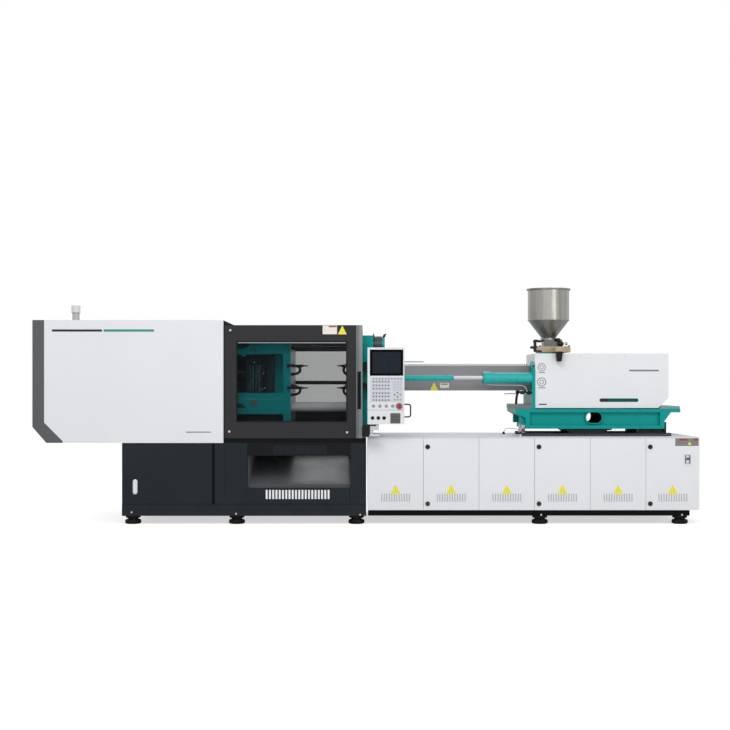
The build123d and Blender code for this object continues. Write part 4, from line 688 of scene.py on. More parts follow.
def makeBaseDetails(look):
    y = look["frontY"]
    bm = bmesh.new()
    low, high = look["louvreX"]
    pitch = (high - low) / look["louvres"]
    for count in range(look["louvres"]):
        x = low + (count + 0.5) * pitch
        addPrism(bm, boxPoints(x - pitch * 0.3, x + pitch * 0.3, *look["louvreZ"], 0.006), y - 0.0025, y + 0.001)
    finishPiece("baseLouvres", bm, "basePaint", "frame", 0.001)
    bm = bmesh.new()
    for x, z in look["bolts"]:
        addScrew(bm, (x, y - 0.005, z), (0, -1, 0), 0.012)
        addScrew(bm, (x, 2 * axisY - y + 0.005, z), (0, 1, 0), 0.012)
    for x in (2.315, 4.178):
        addScrew(bm, (x, -0.709, 0.124), (0, -1, 0), 0.012)
    finishPiece("baseBolts", bm, "palePlastic", "frame")
    # painted light: pale plates behind the vent slots stand in for the daylight seen through them; dark strips on the
    # folded seams, the narrow ones the seams' dark joints and the wide vertical one painted shadow
    x0, pitch, width, count, z0, z1 = look["vents"]
    bm = bmesh.new()
    for step in range(count):
        addPrism(bm, boxPoints(x0 + step * pitch, x0 + step * pitch + width, z0, z1), y + 0.0012, y + 0.0022)
    finishPiece("ventPaintedLight", bm, "ventWhite", "frame")
    bm = bmesh.new()
    for x0, x1, z0, z1 in look["seams"]:
        addPrism(bm, boxPoints(x0, x1, z0, z1), y - 0.0008, y + 0.001)
    finishPiece("baseSeams", bm, "seamShade", "frame")
    # the oil gauge: a clear tube between two nuts on its white plate
    bm = bmesh.new()
    addLathe(bm, [(0, 0), (0.013, 0), (0.013, 0.115), (0, 0.115)], (-3.0525, y - 0.012, 0.438), (0, 0, 1), 16)
    finishPiece("gaugeTube", bm, "ventWhite", "frame")
    bm = bmesh.new()
    for z in (0.43, 0.562):
        addLathe(bm, [(0, -0.009), (0.02, -0.009), (0.02, 0.009), (0, 0.009)], (-3.0525, y - 0.012, z), (0, 0, 1), 6)
    finishPiece("gaugeNuts", bm, "ventWhite", "frame", 0.001)


makeBaseDetails(base)
print("clamp base details made")

# cabinet doors
cabinet = {"frontY": -0.735, "x0": 0.02, "x1": 4.406, "pitch": 0.735, "leaves": 6, "triangleZ": 0.396, "triangleSize": 0.135, "lockZ": (0.273, 1.024)}


def makeCabinetDetails(look):
    y = look["frontY"]
    for number in range(look["leaves"]):
        left = look["x0"] + number * look["pitch"]
        middle = (left + min(left + look["pitch"], look["x1"])) / 2
        body = f"cabinet_leaf_{number + 1}"
        bm = bmesh.new()
        size = look["triangleSize"]
        addPrism(bm, trianglePoints(middle, look["triangleZ"], size, size, 0.009), y - 0.0012, y + 0.002)
        finishPiece(f"leafTriangle{number + 1}", bm, "yellowPrint", body, 0.0003)
        # pressed hoods over the louvre slots
        bm = bmesh.new()
        pitch = 0.4 / 12
        for count in range(12):
            x = middle - 0.2 + (count + 0.5) * pitch + 0.0075
            addPrism(bm, boxPoints(x, x + 0.0105, 0.297, 0.408, 0.004), y - 0.004, y + 0.001)
        finishPiece(f"leafLouvres{number + 1}", bm, "whitePaint", body, 0.0015)
        # grey plates behind the louvre slots: painted shade inside the slots
        bm = bmesh.new()
        for count in range(12):
            x = middle - 0.2 + (count + 0.5) * pitch
            addPrism(bm, boxPoints(x - 0.0058, x + 0.0058, 0.3005, 0.4045), y + 0.002, y + 0.003)
        finishPiece(f"leafSlotShade{number + 1}", bm, "slotShadeGrey", body)
        if number % 2:
            bm = bmesh.new()
            for z in look["lockZ"]:
                x = left + 0.057
                addLathe(bm, [(0, 0.006), (0.031, 0.006), (0.031, 0.009), (0.028, 0.0115), (0.017, 0.0115), (0.015, 0.014), (0.006, 0.014), (0.005, 0.008), (0, 0.008)], (x, y, z), (0, -1, 0), 32)
            finishPiece(f"leafLocks{number + 1}", bm, "blackPlastic", body)


makeCabinetDetails(cabinet)


# the grey plate with plain colour fields at the right end
endPlate = {"x": (4.083, 4.392), "z": (1.036, 1.136), "reds": ((4.14, 4.245), (4.325, 4.385)), "redZ": (1.106, 1.13), "mark": (4.272, 1.052, 0.052)}


def makeEndPlate(look):
    y = -0.735
    bm = bmesh.new()
    addPrism(bm, boxPoints(*look["x"], *look["z"], 0.004), y - 0.0015, y + 0.002)
    finishPiece("baseEndPlate", bm, "endGrey", "cabinet_leaf_6", 0.0004)
    bm = bmesh.new()
    for x0, x1 in look["reds"]:
        addPrism(bm, boxPoints(x0, x1, *look["redZ"], 0.003), y - 0.0022, y - 0.0012)
    finishPiece("baseEndField", bm, "redPrint", "cabinet_leaf_6")
    bm = bmesh.new()
    x, z, size = look["mark"]
    addPrism(bm, trianglePoints(x, z, size, size * 0.8, 0.004), y - 0.0022, y - 0.0012)
    finishPiece("baseEndMark", bm, "yellowPrint", "cabinet_leaf_6")


makeEndPlate(endPlate)
print("cabinet details made")

# operator panel
panel = {"frontY": -1.005, "screen": (0.081, 0.449, 1.992, 2.271), "leftColumns": 6, "leftX": (0.094, 0.290), "leftRows": (1.884, 1.836, 1.793, 1.736, 1.692, 1.644),
    "topX": (0.094, 0.454), "topZ": 1.921, "topKeys": 10, "padX": (0.366, 0.407, 0.447), "padZ": (1.878, 1.845, 1.812, 1.779),
    "arrows": ((0.407, 1.742), (0.407, 1.69), (0.368, 1.716), (0.446, 1.716)), "lowX": (0.368, 0.407, 0.447), "lowZ": 1.65}


def addKey(bm, x, z, wide, high, y):
    addPrism(bm, boxPoints(x - wide / 2, x + wide / 2, z - high / 2, z + high / 2, 0.004), y - 0.0025, y + 0.001)


def makePanelDetails(look):
    y = look["frontY"]
    keys = bmesh.new()
    marks = bmesh.new()
    step = (look["leftX"][1] - look["leftX"][0]) / (look["leftColumns"] - 1)
    for z in look["leftRows"]:
        for column in range(look["leftColumns"]):
            x = look["leftX"][0] + column * step
            addKey(keys, x, z, 0.03, 0.03, y)
            addKey(marks, x, z, 0.019, 0.019, y - 0.0016)
    step = (look["topX"][1] - look["topX"][0]) / (look["topKeys"] - 1)
    for column in range(look["topKeys"]):
        x = look["topX"][0] + column * step
        addKey(keys, x, look["topZ"], 0.032, 0.022, y)
        addKey(marks, x, look["topZ"], 0.02, 0.011, y - 0.0016)
    for z in look["padZ"]:
        for x in look["padX"]:
            addKey(keys, x, z, 0.033, 0.026, y)
    for x, z in look["arrows"]:
        addKey(keys, x, z, 0.026, 0.026, y)
        addKey(marks, x, z, 0.018, 0.018, y - 0.0016)
    for x in look["lowX"]:
        addKey(keys, x, look["lowZ"], 0.028, 0.022, y)
        addKey(marks, x, look["lowZ"], 0.016, 0.012, y - 0.0016)
    finishPiece("panelKeys", keys, "keyCap", "panel")
    finishPiece("panelKeyMarks", marks, "keyMark", "panel")
    bm = bmesh.new()
    x0, x1, z0, z1 = look["screen"]
    addPrism(bm, boxPoints(x0, x1, z0, z1, 0.003), y - 0.0028, y + 0.002)
    finishPiece("panelScreen", bm, "screenGlass", "panel", 0.0005)
    bm = bmesh.new()
    addFrame(bm, (0.0655, 0.4645, 1.977, 2.286), 0.0155, y - 0.0026, y + 0.002)
    finishPiece("panelBezel", bm, "bezel", "panel")
    bm = bmesh.new()
    addPrism(bm, boxPoints(0.026, 0.487, 1.513, 1.5165), y - 0.001, y + 0.001)
    finishPiece("panelDivider", bm, "greyPrint", "panel")
    bm = bmesh.new()
    addPrism(bm, boxPoints(0.314, 0.444, 1.342, 1.474, 0.008), y - 0.006, y + 0.001)
    finishPiece("panelDrive", bm, "driveGrey", "panel", 0.002)
    bm = bmesh.new()
    addPrism(bm, boxPoints(0.330, 0.428, 1.424, 1.428), y - 0.0075, y - 0.004)
    addPrism(bm, boxPoints(0.330, 0.428, 1.386, 1.389), y - 0.0075, y - 0.004)
    finishPiece("panelDriveSlots", bm, "blackPrint", "panel")
    bm = bmesh.new()
    for x in (0.094, 0.178, 0.261, 0.345):
        addLathe(bm, [(0.0155, -0.001), (0.021, -0.001), (0.021, 0.003), (0.019, 0.0045), (0.0155, 0.0045), (0.0155, -0.001)], (x, y, 1.567), (0, -1, 0), 24)
    addLathe(bm, [(0.0335, -0.001), (0.046, -0.001), (0.046, 0.002), (0.044, 0.003), (0.0335, 0.003), (0.0335, -0.001)], (0.43, y, 1.567), (0, -1, 0), 32)
    finishPiece("panelCollars", bm, "greyPlastic", "panel")
    bm = bmesh.new()
    for x in (0.082, 0.158, 0.232):
        addLathe(bm, [(0.0165, 0), (0.023, 0), (0.023, 0.006), (0.021, 0.0085), (0.0165, 0.0085), (0.0165, 0)], (x, y, 1.412), (0, -1, 0), 24)
    finishPiece("socketRings", bm, "blackPlastic", "panel")


made["tailPaint"] = makeFinish("tailPaint", {"colour": rgb(110, 150, 152), "rough": 0.4, "shine": 0.3})
made["noseBrown"] = makeFinish("noseBrown", {"colour": rgb(96, 62, 56), "rough": 0.5, "mottle": 0.2})
made["driveGrey"] = makeFinish("driveGrey", {"colour": rgb(84, 82, 82), "rough": 0.45, "mottle": 0.05})
makePanelDetails(panel)
print("panel details made")

# the bracket under the panel
armBracket = {"block": [(-0.055, 1.167), (0.02, 1.167), (0.04, 1.176), (0.049, 1.2), (0.049, 1.305), (-0.055, 1.305)], "strip": (-0.042, 0.128, 1.305, 1.322), "cheek": (0.05, 0.166, 1.252, 1.3285)}


def makeArmBracket(look):
    bm = bmesh.new()
    addPrism(bm, look["block"], -0.998, -0.76)
    addPrism(bm, boxPoints(*look["strip"]), -0.99, -0.92)
    finishPiece("armBracket", bm, "darkSteel", "frame", 0.004)
    bm = bmesh.new()
    addPrism(bm, boxPoints(*look["cheek"], 0.006), -0.985, -0.9)
    finishPiece("armCheek", bm, "armPaint", "frame", 0.003)


makeArmBracket(armBracket)

# injection cover and beam
unit = {"frontY": -0.335, "badges": ((2.372, 2.082, 0.054), (2.372, 1.882, 0.061)), "modelBar": (3.555, 3.955, 2.025, 2.048), "nameBar": (2.335, 2.44, 1.572, 1.588)}


def makeUnitDetails(look):
    y = look["frontY"]
    bm = bmesh.new()
    for x, z, radius in look["badges"]:
        addLathe(bm, [(radius * 0.82, -0.001), (radius, -0.001), (radius, 0.001), (radius * 0.82, 0.001), (radius * 0.82, -0.001)], (x, y, z), (0, -1, 0), 40)
        addLathe(bm, [(radius * 0.35, -0.001), (radius * 0.5, -0.001), (radius * 0.5, 0.001), (radius * 0.35, 0.001), (radius * 0.35, -0.001)], (x, y, z), (0, -1, 0), 32)
    finishPiece("coverRings", bm, "greyPrint", "carriage")
    bm = bmesh.new()
    for x, z, radius in look["badges"]:
        addPrism(bm, boxPoints(x - radius * 0.8, x + radius * 0.8, z - radius - 0.024, z - radius - 0.012), y - 0.001, y + 0.001)
    addPrism(bm, boxPoints(*look["modelBar"], 0.006), y - 0.001, y + 0.001)
    finishPiece("coverGreyBars", bm, "greyPrint", "carriage")
    bm = bmesh.new()
    addPrism(bm, boxPoints(*look["nameBar"], 0.004), y - 0.001, y + 0.001)
    finishPiece("coverNameBar", bm, "blackPrint", "carriage")
    bm = bmesh.new()
    for x in (2.32, 2.9, 3.5, 4.04):
        for side, normal in ((y, -1), (2 * axisY - y, 1)):
            addScrew(bm, (x, side, 2.225), (0, normal, 0), 0.008)
    finishPiece("unitScrews", bm, "palePlastic", "carriage")
    # painted shade seen through the slot: a dark teal sheet, with a black block at its left end
    bm = bmesh.new()
    addBlock(bm, (3.14, y + 0.012, 1.60), (3.69, y + 0.016, 1.672))
    finishPiece("slotPaintedShade", bm, "shadeTeal", "carriage")
    bm = bmesh.new()
    addBlock(bm, (3.14, y + 0.006, 1.60), (3.27, y + 0.011, 1.672))
    finishPiece("slotShadow", bm, "blackPlastic", "carriage")


makeUnitDetails(unit)

beam = {"frontY": -0.375, "tailX": (3.952, 4.232), "stop": (4.0235, 4.046, 1.215, 1.343)}


def slotPoints(x0, x1, z, radius):
    points = []
    for middle, begin in ((x1 - radius, -90), (x0 + radius, 90)):
        for step in range(13):
            angle = math.radians(begin + 15 * step)
            points.append((middle + radius * math.cos(angle), z + radius * math.sin(angle)))
    return points


def addRing(bm, outer, inner, frontY, backY):
    # a tube between two outlines of as many points
    loops = [[bm.verts.new((x, y, z)) for x, z in points] for points, y in ((outer, frontY), (outer, backY), (inner, backY), (inner, frontY))]
    for first, second in zip(loops, loops[1:] + loops[:1]):
        for index in range(len(first)):
            after = (index + 1) % len(first)
            bm.faces.new((first[index], first[after], second[after], second[index]))


made["holeShadeBlack"] = makeFinish("holeShadeBlack", {"colour": rgb(6, 14, 17), "rough": 0.9, "mottle": 0.1, "shine": 0.0, "low": 0.0, "film": 0.0})


def makeBeamDetails(look):
    y = look["frontY"]
    bm = bmesh.new()
    for x in (2.19, 2.45, 2.75, 3.4, 3.7, 3.98):
        for z in (1.2735, 1.4945):
            addScrew(bm, (x, y, z), (0, -1, 0), 0.011)
            addScrew(bm, (x, 2 * axisY - y, z), (0, 1, 0), 0.011)
    finishPiece("beamScrews", bm, "tealPaint", "carriage")
    # painted shade: a dark sleeve inside the lifting hole; and the plate that closes the web beside its ring
    bm = bmesh.new()
    for x1, frontY, backY in ((3.179, -0.3545, -0.316), (3.265, -0.313, 0.604)):
        addRing(bm, slotPoints(2.969, x1, 1.401, 0.0725), slotPoints(2.971, x1 - 0.002, 1.401, 0.0705), frontY, backY)
    finishPiece("holeShade", bm, "holeShadeBlack", "carriage")
    bm = bmesh.new()
    for side in (-1, 1):
        turn = [(3.1065 + 0.0865 * math.cos(math.radians(angle)), 1.401 + 0.0865 * math.sin(math.radians(angle))) for angle in range(90, -91, -15)]
        faceY = axisY + side * 0.4605
        addPrism(bm, turn + [(3.285, 1.3145), (3.285, 1.4875)], faceY - 0.0008, faceY + 0.0008)
    finishPiece("webPlate", bm, "tealPaint", "carriage")
    # the grey cover plate on the tail bracket
    bm = bmesh.new()
    x0, x1 = look["tailX"]
    addPrism(bm, [(x0, 1.5172), (x1, 1.5172), (x1, 1.548), (x1 - 0.008, 1.556), (x0 + 0.035, 1.556)], y + 0.004, 2 * axisY - y - 0.004)
    finishPiece("tailPlate", bm, "tailPaint", "carriage", 0.004)
    bm = bmesh.new()
    addPrism(bm, boxPoints(*look["stop"]), y, y + 0.055)
    finishPiece("tailStop", bm, "darkSteel", "carriage", 0.002)
    # the locking eye on the barrel plate, and the bright foot block with its clamp at the nose
    bm = bmesh.new()
    addLathe(bm, [(0, 0), (0.03, 0), (0.03, 0.024), (0.024, 0.03), (0, 0.03)], (2.241, -0.33, 2.134), (0, -1, 0), 24)
    addBlock(bm, (2.228, -0.352, 2.08), (2.24, -0.334, 2.12))
    finishPiece("plateEye", bm, "tailPaint", "carriage", 0.002)
    bm = bmesh.new()
    addBlock(bm, (2.066, -0.35, 1.256), (2.082, -0.25, 1.304))
    addBlock(bm, (2.09, -0.356, 1.262), (2.1455, -0.25, 1.298))
    addBlock(bm, (2.066, -0.345, 1.196), (2.1455, -0.25, 1.256))
    finishPiece("noseBlock", bm, "brightSteel", "carriage", 0.003)
    bm = bmesh.new()
    addBlock(bm, (2.098, -0.359, 1.206), (2.1455, -0.34, 1.244))
    finishPiece("noseClamp", bm, "noseBrown", "carriage", 0.003)


makeBeamDetails(beam)
print("injection unit details made")

# hopper
hopper = {"x": 2.529, "z": 2.371}


def makeHopperDetails(look):
    x = look["x"]
    # rolled rim and welded bands
    bm = bmesh.new()
    addLathe(bm, [(0.288, 3.148), (0.2955, 3.150), (0.3015, 3.156), (0.3035, 3.163), (0.3015, 3.170), (0.2955, 3.173), (0.2885, 3.173)], (x, axisY, 0), (0, 0, 1), 64)
    addLathe(bm, [(0.2845, 2.748), (0.2875, 2.745), (0.2875, 2.735), (0.2825, 2.728)], (x, axisY, 0), (0, 0, 1), 64)
    finishPiece("hopperBands", bm, "stainless", "carriage")
    bm = bmesh.new()
    addLathe(bm, [(0, 2.4705), (0.118, 2.4705), (0.118, 2.482), (0.086, 2.484), (0.086, 2.4705)], (x, axisY, 0), (0, 0, 1), 48)
    for step in range(6):
        angle = math.radians(30 + 60 * step)
        addLathe(bm, [(0, 0), (0.011, 0), (0.011, 0.01), (0, 0.01)], (x + 0.102 * math.cos(angle), axisY + 0.102 * math.sin(angle), 2.482), (0, 0, 1), 6)
    finishPiece("hopperFlange", bm, "brightSteel", "carriage")
    bm = bmesh.new()
    for sx in (2.39, 2.786):
        for sy in (-0.17, 0.17):
            addLathe(bm, [(0, 0), (0.016, 0), (0.016, 0.012), (0.013, 0.015), (0, 0.015)], (sx, axisY + sy, look["z"]), (0, 0, 1), 6)
    finishPiece("seatBolts", bm, "darkSteel", "carriage")
    # knobs and clamps round the throat
    bm = bmesh.new()
    y = axisY - 0.2
    addLathe(bm, [(0, -0.035), (0.036, -0.035), (0.04, -0.028), (0.04, 0.0), (0.03, 0.008), (0, 0.008)], (2.634, axisY - 0.14, 2.478), (0, 0, 1), 24)
    addLathe(bm, [(0, -0.04), (0.016, -0.04), (0.03, -0.03), (0.033, 0.0), (0.03, 0.03), (0.016, 0.04), (0, 0.04)], (2.676, axisY - 0.155, 2.408), (1, 0, 0), 20)
    addPrism(bm, [(2.297, 2.43), (2.40, 2.425), (2.446, 2.44), (2.446, 2.462), (2.39, 2.457), (2.32, 2.468), (2.297, 2.455)], y, y + 0.07)
    addPrism(bm, [(2.300, 2.30), (2.335, 2.30), (2.342, 2.36), (2.335, 2.44), (2.300, 2.44)], y, y + 0.05)
    addPrism(bm, [(2.248, 2.345), (2.30, 2.335), (2.30, 2.372), (2.262, 2.378)], y + 0.01, y + 0.04)
    addPrism(bm, [(2.31, 2.294), (2.41, 2.294), (2.41, 2.318), (2.31, 2.318)], y - 0.004, y + 0.05)
    finishPiece("throatClamps", bm, "blackPlastic", "carriage", 0.004)


makeHopperDetails(hopper)


def makeCableGlands(look):
    # the two small blocks that the cable comes out of
    bm = bmesh.new()
    x, y, z = look["start"]
    for way in (0, look["rise"][-1][0]):
        addLathe(bm, [(0, 0), (0.02, 0), (0.02, 0.012), (0.014, 0.016), (0.014, 0.03), (0.006, 0.034), (0, 0.034)], (x + way, y, z), (0, 0, 1), 6)
    finishPiece("cableGlands", bm, "blackPlastic", "frame")


makeCableGlands(sensorCable)
print("hopper details made")

# barrel cover prints
made["toothGrey"] = makeFinish("toothGrey", {"colour": rgb(112, 114, 118), "rough": 0.5, "mottle": 0.05, "shine": 0.1})
barrelTrim = {"frontY": -0.045, "teeth": (0.482, 2.239, 0.0275), "triangle": (0.932, 1.766, 0.115), "card": (1.014, 1.137, 1.80, 1.868)}


def makeBarrelTrim(look):
    y = look["frontY"]
    bm = bmesh.new()
    x, z, size = look["triangle"]
    addPrism(bm, trianglePoints(x, z, size, size, 0.008), y - 0.0015, y + 0.001)
    finishPiece("barrelTriangle", bm, "yellowPrint", "carriage")
    bm = bmesh.new()
    addPrism(bm, boxPoints(*look["card"], 0.004), y - 0.0015, y + 0.001)
    finishPiece("barrelCard", bm, "cardPaint", "carriage")
    bm = bmesh.new()
    addPrism(bm, boxPoints(1.03, 1.12, 1.846, 1.86, 0.003), y - 0.0022, y - 0.001)
    finishPiece("barrelCardBand", bm, "redPrint", "carriage")
    # the toothed strip along the top edge, and the thin feeler rod on its post
    bm = bmesh.new()
    x0, x1, pitch = look["teeth"]
    addBlock(bm, (x0, y - 0.0015, 2.05), (x1, y + 0.0015, 2.104))
    finishPiece("coverStrip", bm, "greyPaint", "carriage")
    bm = bmesh.new()
    for step in range(int((x1 - x0) / pitch)):
        x = x0 + (step + 0.2) * pitch
        addPrism(bm, boxPoints(x, x + pitch * 0.55, 2.1, 2.13), y - 0.0015, y + 0.0015)
    finishPiece("coverTeeth", bm, "toothGrey", "carriage")
    bm = bmesh.new()
    addLathe(bm, [(0, 0), (0.0075, 0), (0.0075, 0.298), (0, 0.298)], (0.49, y - 0.0095, 2.16), (1, 0, 0), 12)
    addLathe(bm, [(0, 0), (0.009, 0), (0.009, 0.11), (0, 0.11)], (0.499, y - 0.0095, 2.055), (0, 0, 1), 12)
    finishPiece("feelerRod", bm, "greyPlastic", "carriage")


makeBarrelTrim(barrelTrim)

# hoses between the platens
loops = {"frontY": -0.435, "movingX": -1.012, "fixedX": -0.233, "levels": (2.123, 1.848), "drop": 0.155, "reach": {"moving": 0.12, "fixed": 0.067}, "radius": 0.018,
    "stubs": {"moving": (-1.05, -0.779, -0.511), "fixed": (-0.39, -0.16, -0.548)}, "stubZ": (2.097, 1.802)}


def makeLoops(look):
    for side, faceX, way, body, node in (("moving", look["movingX"], 1, "moving_half", "moving_platen_hoses"), ("fixed", look["fixedX"], -1, "frame", "fixed_platen_hoses")):
        first = None
        for level, top in enumerate(look["levels"]):
            y = look["frontY"]
            z0, z1 = top - look["radius"], top - look["drop"] + look["radius"]
            reach = look["reach"][side] * way
            loop = makeHose(f"{side}Loop{level}", [(faceX, y, z0), (faceX + 0.5 * reach, y, z0), (faceX + reach, y, z0 - 0.02), (faceX + 1.05 * reach, y, (z0 + z1) / 2), (faceX + reach, y, z1 + 0.02), (faceX + 0.5 * reach, y, z1), (faceX, y, z1)], look["radius"], "blackRubber", body)
            first = first or loop
            bm = bmesh.new()
            for z in (z0, z1):
                addLathe(bm, [(0, 0), (0.024, 0), (0.024, 0.02), (0.021, 0.026), (0.021, 0.045), (0.018, 0.05), (0, 0.05)], (faceX, y, z), (way, 0, 0), 6)
            x0, x1, stubY = look["stubs"][side]
            z = look["stubZ"][level]
            length = x1 - x0
            shape = [(0, 0), (0.008, 0), (0.018, length * 0.2), (0.018, length * 0.72), (0.009, length * 0.8), (0.007, length), (0, length)]
            start = (x0, stubY, z) if way == 1 else (x1, stubY, z)
            addLathe(bm, shape, start, (way, 0, 0), 16)
            clipX = faceX - way * 0.028
            addBlock(bm, (clipX - 0.02, stubY - 0.019, z - 0.02), (clipX + 0.02, -0.4948, z + 0.02))
            finishPiece(f"{side}HoseNuts{level}", bm, "blackPlastic", body, 0.002)
        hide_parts(node)


makeLoops(loops)

# valves, pipes and castings on the moving platen, behind the window
valves = {"plate": (-1.645, -1.25, 1.735, 2.257), "plateY": (-0.137, -0.1255), "band": (-1.60, -1.358, 2.115, 2.183), "stackX": (-1.43, -1.36), "stackZ": (1.77, 0.068, 5),
    "tubes": (-1.588, -1.545, -1.5, -1.462, -1.446), "tubeZ": (1.742, 2.12), "frontY": -0.495}


def makeValves(look):
    x0, x1, z0, z1 = look["plate"]
    bm = bmesh.new()
    addPrism(bm, boxPoints(x0, x1, z0, z1, 0.01), *look["plateY"])
    addBlock(bm, (x0 + 0.01, -0.17, z0 + 0.02), (x0 + 0.06, -0.13, z1 - 0.02))
    finishPiece("valvePlate", bm, "valvePaint", "moving_half", 0.003)
    bm = bmesh.new()
    x0, x1, z0, z1 = look["band"]
    addBlock(bm, (x0, -0.205, z0), (x1, -0.135, z1))
    low, pitch, count = look["stackZ"]
    for step in range(count):
        z = low + step * pitch
        addBlock(bm, (look["stackX"][0] - 0.01 * (step % 2), -0.22, z), (look["stackX"][1], -0.135, z + pitch * 0.72))
    finishPiece("valveBlocks", bm, "blackPlastic", "moving_half", 0.004)
    bm = bmesh.new()
    for place, x in enumerate(look["tubes"]):
        z0, z1 = look["tubeZ"]
        addLathe(bm, [(0, z0), (0.011, z0), (0.011, z1), (0, z1)], (x, -0.155 - 0.012 * (place % 2), 0), (0, 0, 1), 12)
        addLathe(bm, [(0, -0.02), (0.019, -0.02), (0.019, 0.02), (0, 0.02)], (x, -0.155 - 0.012 * (place % 2), 1.82 + 0.07 * place), (0, 0, 1), 6)
    finishPiece("valveTubes", bm, "valveTube", "moving_half")
    bm = bmesh.new()
    for x, z in ((-1.412, 1.782), (-1.378, 1.80), (-1.40, 2.0), (-1.52, 2.15)):
        addLathe(bm, [(0, 0), (0.011, 0), (0.011, 0.01), (0.008, 0.018), (0, 0.018)], (x, -0.218, z), (0, -1, 0), 12)
    finishPiece("valvePlugs", bm, "palePlastic", "moving_half")
    # castings on the front of the upper and the lower nut housing: dark teal plates are painted shade in its recesses,
    # and a lighter teal ledge is a painted highlight
    y = look["frontY"]
    bm = bmesh.new()
    addPrism(bm, [(-1.757, 2.32), (-1.68, 2.3235), (-1.62, 2.335), (-1.575, 2.365), (-1.556, 2.415), (-1.757, 2.415)], y - 0.001, y + 0.001)
    addPrism(bm, [(-1.757, 1.533), (-1.60, 1.533), (-1.66, 1.585), (-1.757, 1.603)], y - 0.001, y + 0.001)
    finishPiece("housingShade", bm, "shadeTeal", "moving_half")
    bm = bmesh.new()
    addBlock(bm, (-1.757, y - 0.007, 1.64), (-1.114, y + 0.001, 1.666))
    finishPiece("housingEdgeHighlight", bm, "litTeal", "moving_half", 0.003)
    bm = bmesh.new()
    arc = [(-1.51 + 0.062 * math.cos(math.radians(angle)), 1.638 + 0.08 * math.sin(math.radians(angle))) for angle in range(180, 361, 15)]
    addPrism(bm, arc, y - 0.006, y + 0.001)
    finishPiece("housingPad", bm, "valveTube", "moving_half", 0.002)
    bm = bmesh.new()
    addPrism(bm, [(-1.70, 1.502), (-1.585, 1.508), (-1.61, 1.524), (-1.70, 1.528)], y - 0.003, y + 0.001)
    addLathe(bm, [(0, 0), (0.013, 0), (0.018, 0.006), (0.024, 0.008), (0.024, 0.014), (0.018, 0.018), (0.012, 0.012), (0, 0.012)], (-1.489, y, 2.297), (0, -1, 0), 20)
    finishPiece("housingEye", bm, "valveTube", "moving_half")


makeValves(valves)


# platen faces
platens = {"reachY": (0.14, 0.21, 0.35, 0.42), "reachZ": (0.14, 0.21, 0.35), "hole": 0.012}


def makePlatenHoles(look):
    for name, faceX, way, body in (("fixed", -0.233, -1, "frame"), ("moving", -1.012, 1, "moving_half")):
        # black discs on the platen face: painted shade in its tapped holes
        bm = bmesh.new()
        for dy in look["reachY"]:
            for dz in look["reachZ"]:
                for sy in (-1, 1):
                    for sz in (-1, 1):
                        if abs(dy - 0.42) < 0.01 and dz > 0.3:
                            continue
                        addLathe(bm, [(0, 0.0003), (look["hole"], 0.0003), (look["hole"] + 0.0035, 0.0006), (look["hole"] + 0.0035, -0.001)], (faceX, axisY + sy * dy, 1.958 + sz * dz), (way, 0, 0), 16)
        finishPiece(f"{name}PlatenHoleShade", bm, "blackPrint", body)


makePlatenHoles(platens)


# fittings on the fixed platen and its cylinders
def makePlatenFittings():
    bm = bmesh.new()
    y = axisY - 0.64
    for z in (2.07, 1.83):
        addLathe(bm, [(0, 0), (0.038, 0), (0.038, 0.02), (0.034, 0.03), (0, 0.03)], (-0.024, y, z), (0, -1, 0), 24)
    finishPiece("platenFittings", bm, "blackPlastic", "frame")
    bm = bmesh.new()
    for side in (-1, 1):
        for level in (-1, 1):
            centre = (0.0, axisY + side * 0.44, 1.958 + level * 0.417)
            for step in range(12):
                angle = math.radians(30 * step)
                spot = (0.0955, centre[1] + 0.15 * math.cos(angle), centre[2] + 0.15 * math.sin(angle))
                addLathe(bm, [(0, 0), (0.013, 0), (0.013, 0.013), (0.01, 0.016), (0, 0.016)], spot, (1, 0, 0), 6)
    finishPiece("cylinderBolts", bm, "darkSteel", "frame")
    bm = bmesh.new()
    for side in (-1, 1):
        addLathe(bm, [(0, 0), (0.012, 0), (0.012, 0.03), (0.017, 0.032), (0.017, 0.05), (0.011, 0.055), (0.011, 0.075), (0, 0.075)], (0.22, axisY + side * 0.44, 2.375 + 0.1), (0.75, 0, 1), 12)
    finishPiece("cylinderElbows", bm, "blackPlastic", "frame")


makePlatenFittings()
print("platen details made")


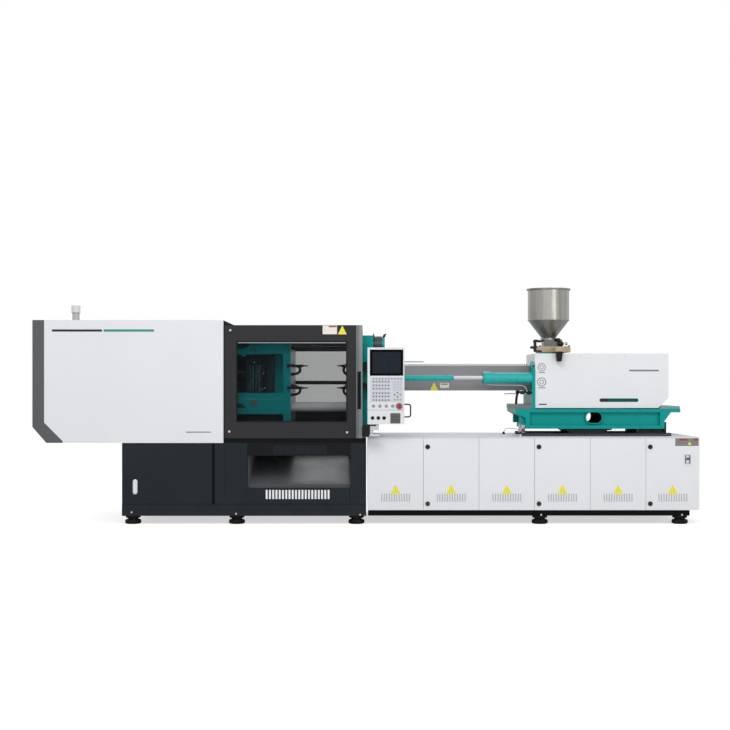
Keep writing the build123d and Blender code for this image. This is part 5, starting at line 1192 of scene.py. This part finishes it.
# carriage cylinder pipes
def makeCarriagePipes():
    y = axisY - 0.43
    makeHose("cylinderPipe", [(1.635, y - 0.02, 1.85), (1.7, y - 0.03, 1.838), (1.9, y - 0.03, 1.837), (2.08, y - 0.03, 1.837), (2.165, y - 0.03, 1.83), (2.175, y - 0.03, 1.75)], 0.009, "greyPlastic", "carriage")
    makeHose("cylinderPipeLower", [(2.04, y + 0.02, 1.745), (2.1, y, 1.745), (2.16, y - 0.02, 1.75), (2.2, y - 0.02, 1.75), (2.24, y, 1.74)], 0.016, "blackRubber", "carriage")
    makeHose("guideRodHose", [(2.06, y, 1.735), (2.035, y - 0.02, 1.71), (2.03, y - 0.03, 1.64), (2.03, y - 0.01, 1.585)], 0.017, "blackRubber", "carriage")
    makeHose("senseRod", [(1.87, y, 1.722), (1.95, y, 1.724), (2.05, y, 1.727)], 0.008, "brightSteel", "carriage", 3)
    bm = bmesh.new()
    for x, z in ((2.05, 1.75), (2.11, 1.735), (2.17, 1.755), (2.2, 1.73)):
        addLathe(bm, [(0, -0.025), (0.019, -0.025), (0.024, -0.015), (0.024, 0.015), (0.019, 0.025), (0, 0.025)], (x, y - 0.01, z), (1, 0, 0), 6)
    finishPiece("pipeFittings", bm, "blackPlastic", "carriage")
    bm = bmesh.new()
    for x in (1.594, 1.676):
        for step in range(8):
            angle = math.radians(45 * step + 22.5)
            for side in (-1, 1):
                spot = (x if x > 1.6 else 1.5822, axisY + side * 0.43 + 0.066 * math.cos(angle), 1.936 + 0.066 * math.sin(angle))
                if x < 1.6:
                    addLathe(bm, [(0, 0), (0.008, 0), (0.008, 0.008), (0, 0.008)], spot, (-1, 0, 0), 6)
    finishPiece("glandBolts", bm, "darkSteel", "carriage")


makeCarriagePipes()
print("pipes made")


# stage
studio = {"floorShade": (0.8, 0.8, 0.8, 1), "floorGlow": 0.6, "world": 0.54, "key": 1000, "fill": 365, "back": 150}


def makeStage(look):
    bm = bmesh.new()
    bmesh.ops.create_grid(bm, x_segments=1, y_segments=1, size=40)
    mesh = bpy.data.meshes.new("floor")
    bm.to_mesh(mesh)
    bm.free()
    floor = bpy.data.objects.new("floor", mesh)
    bpy.context.scene.collection.objects.link(floor)
    material = bpy.data.materials.new("paleFloor")
    material.use_nodes = True
    nodes, links = material.node_tree.nodes, material.node_tree.links
    shader = nodes["Principled BSDF"]
    shader.inputs["Base Color"].default_value = look["floorShade"]
    shader.inputs["Roughness"].default_value = 0.9
    shader.inputs["Specular IOR Level"].default_value = 0.0
    rays = nodes.new("ShaderNodeLightPath")
    glow = nodes.new("ShaderNodeEmission")
    glow.inputs["Color"].default_value = (1, 1, 1, 1)
    links.new(mathNode(nodes, links, "MULTIPLY", rays.outputs["Is Camera Ray"], look["floorGlow"]), glow.inputs["Strength"])
    both = nodes.new("ShaderNodeAddShader")
    links.new(shader.outputs[0], both.inputs[0])
    links.new(glow.outputs[0], both.inputs[1])
    links.new(both.outputs[0], nodes["Material Output"].inputs["Surface"])
    mesh.materials.append(material)
    world = bpy.data.worlds.new("studioWorld")
    bpy.context.scene.world = world
    world.use_nodes = True
    nodes, links = world.node_tree.nodes, world.node_tree.links
    background = nodes["Background"]
    background.inputs["Color"].default_value = (1, 1, 1, 1)
    rays = nodes.new("ShaderNodeLightPath")
    either = mathNode(nodes, links, "MAXIMUM", rays.outputs["Is Camera Ray"], rays.outputs["Is Glossy Ray"])
    either = mathNode(nodes, links, "MAXIMUM", either, rays.outputs["Is Transmission Ray"])
    strength = spread(nodes, links, either, 0.0, 1.0, look["world"], 1.0)
    links.new(strength, background.inputs["Strength"])


def addLamp(name, place, target, size, power):
    data = bpy.data.lights.new(name, "AREA")
    data.shape = "RECTANGLE"
    data.size, data.size_y = size
    data.energy = power
    lamp = bpy.data.objects.new(name, data)
    lamp.location = place
    lamp.rotation_euler = (Vector(target) - Vector(place)).to_track_quat("-Z", "Y").to_euler()
    bpy.context.scene.collection.objects.link(lamp)


makeStage(studio)
addLamp("keyLamp", (-3, -14, 11), (0, 0, 1.2), (9, 6), studio["key"])
addLamp("fillLamp", (8, -14, 5), (0.5, 0, 1.2), (6, 6), studio["fill"])
addLamp("backLamp", (0, 7, 7), (0, 0, 1.5), (8, 4), studio["back"])
bpy.context.scene.view_settings.view_transform = "Standard"
print("stage lit")
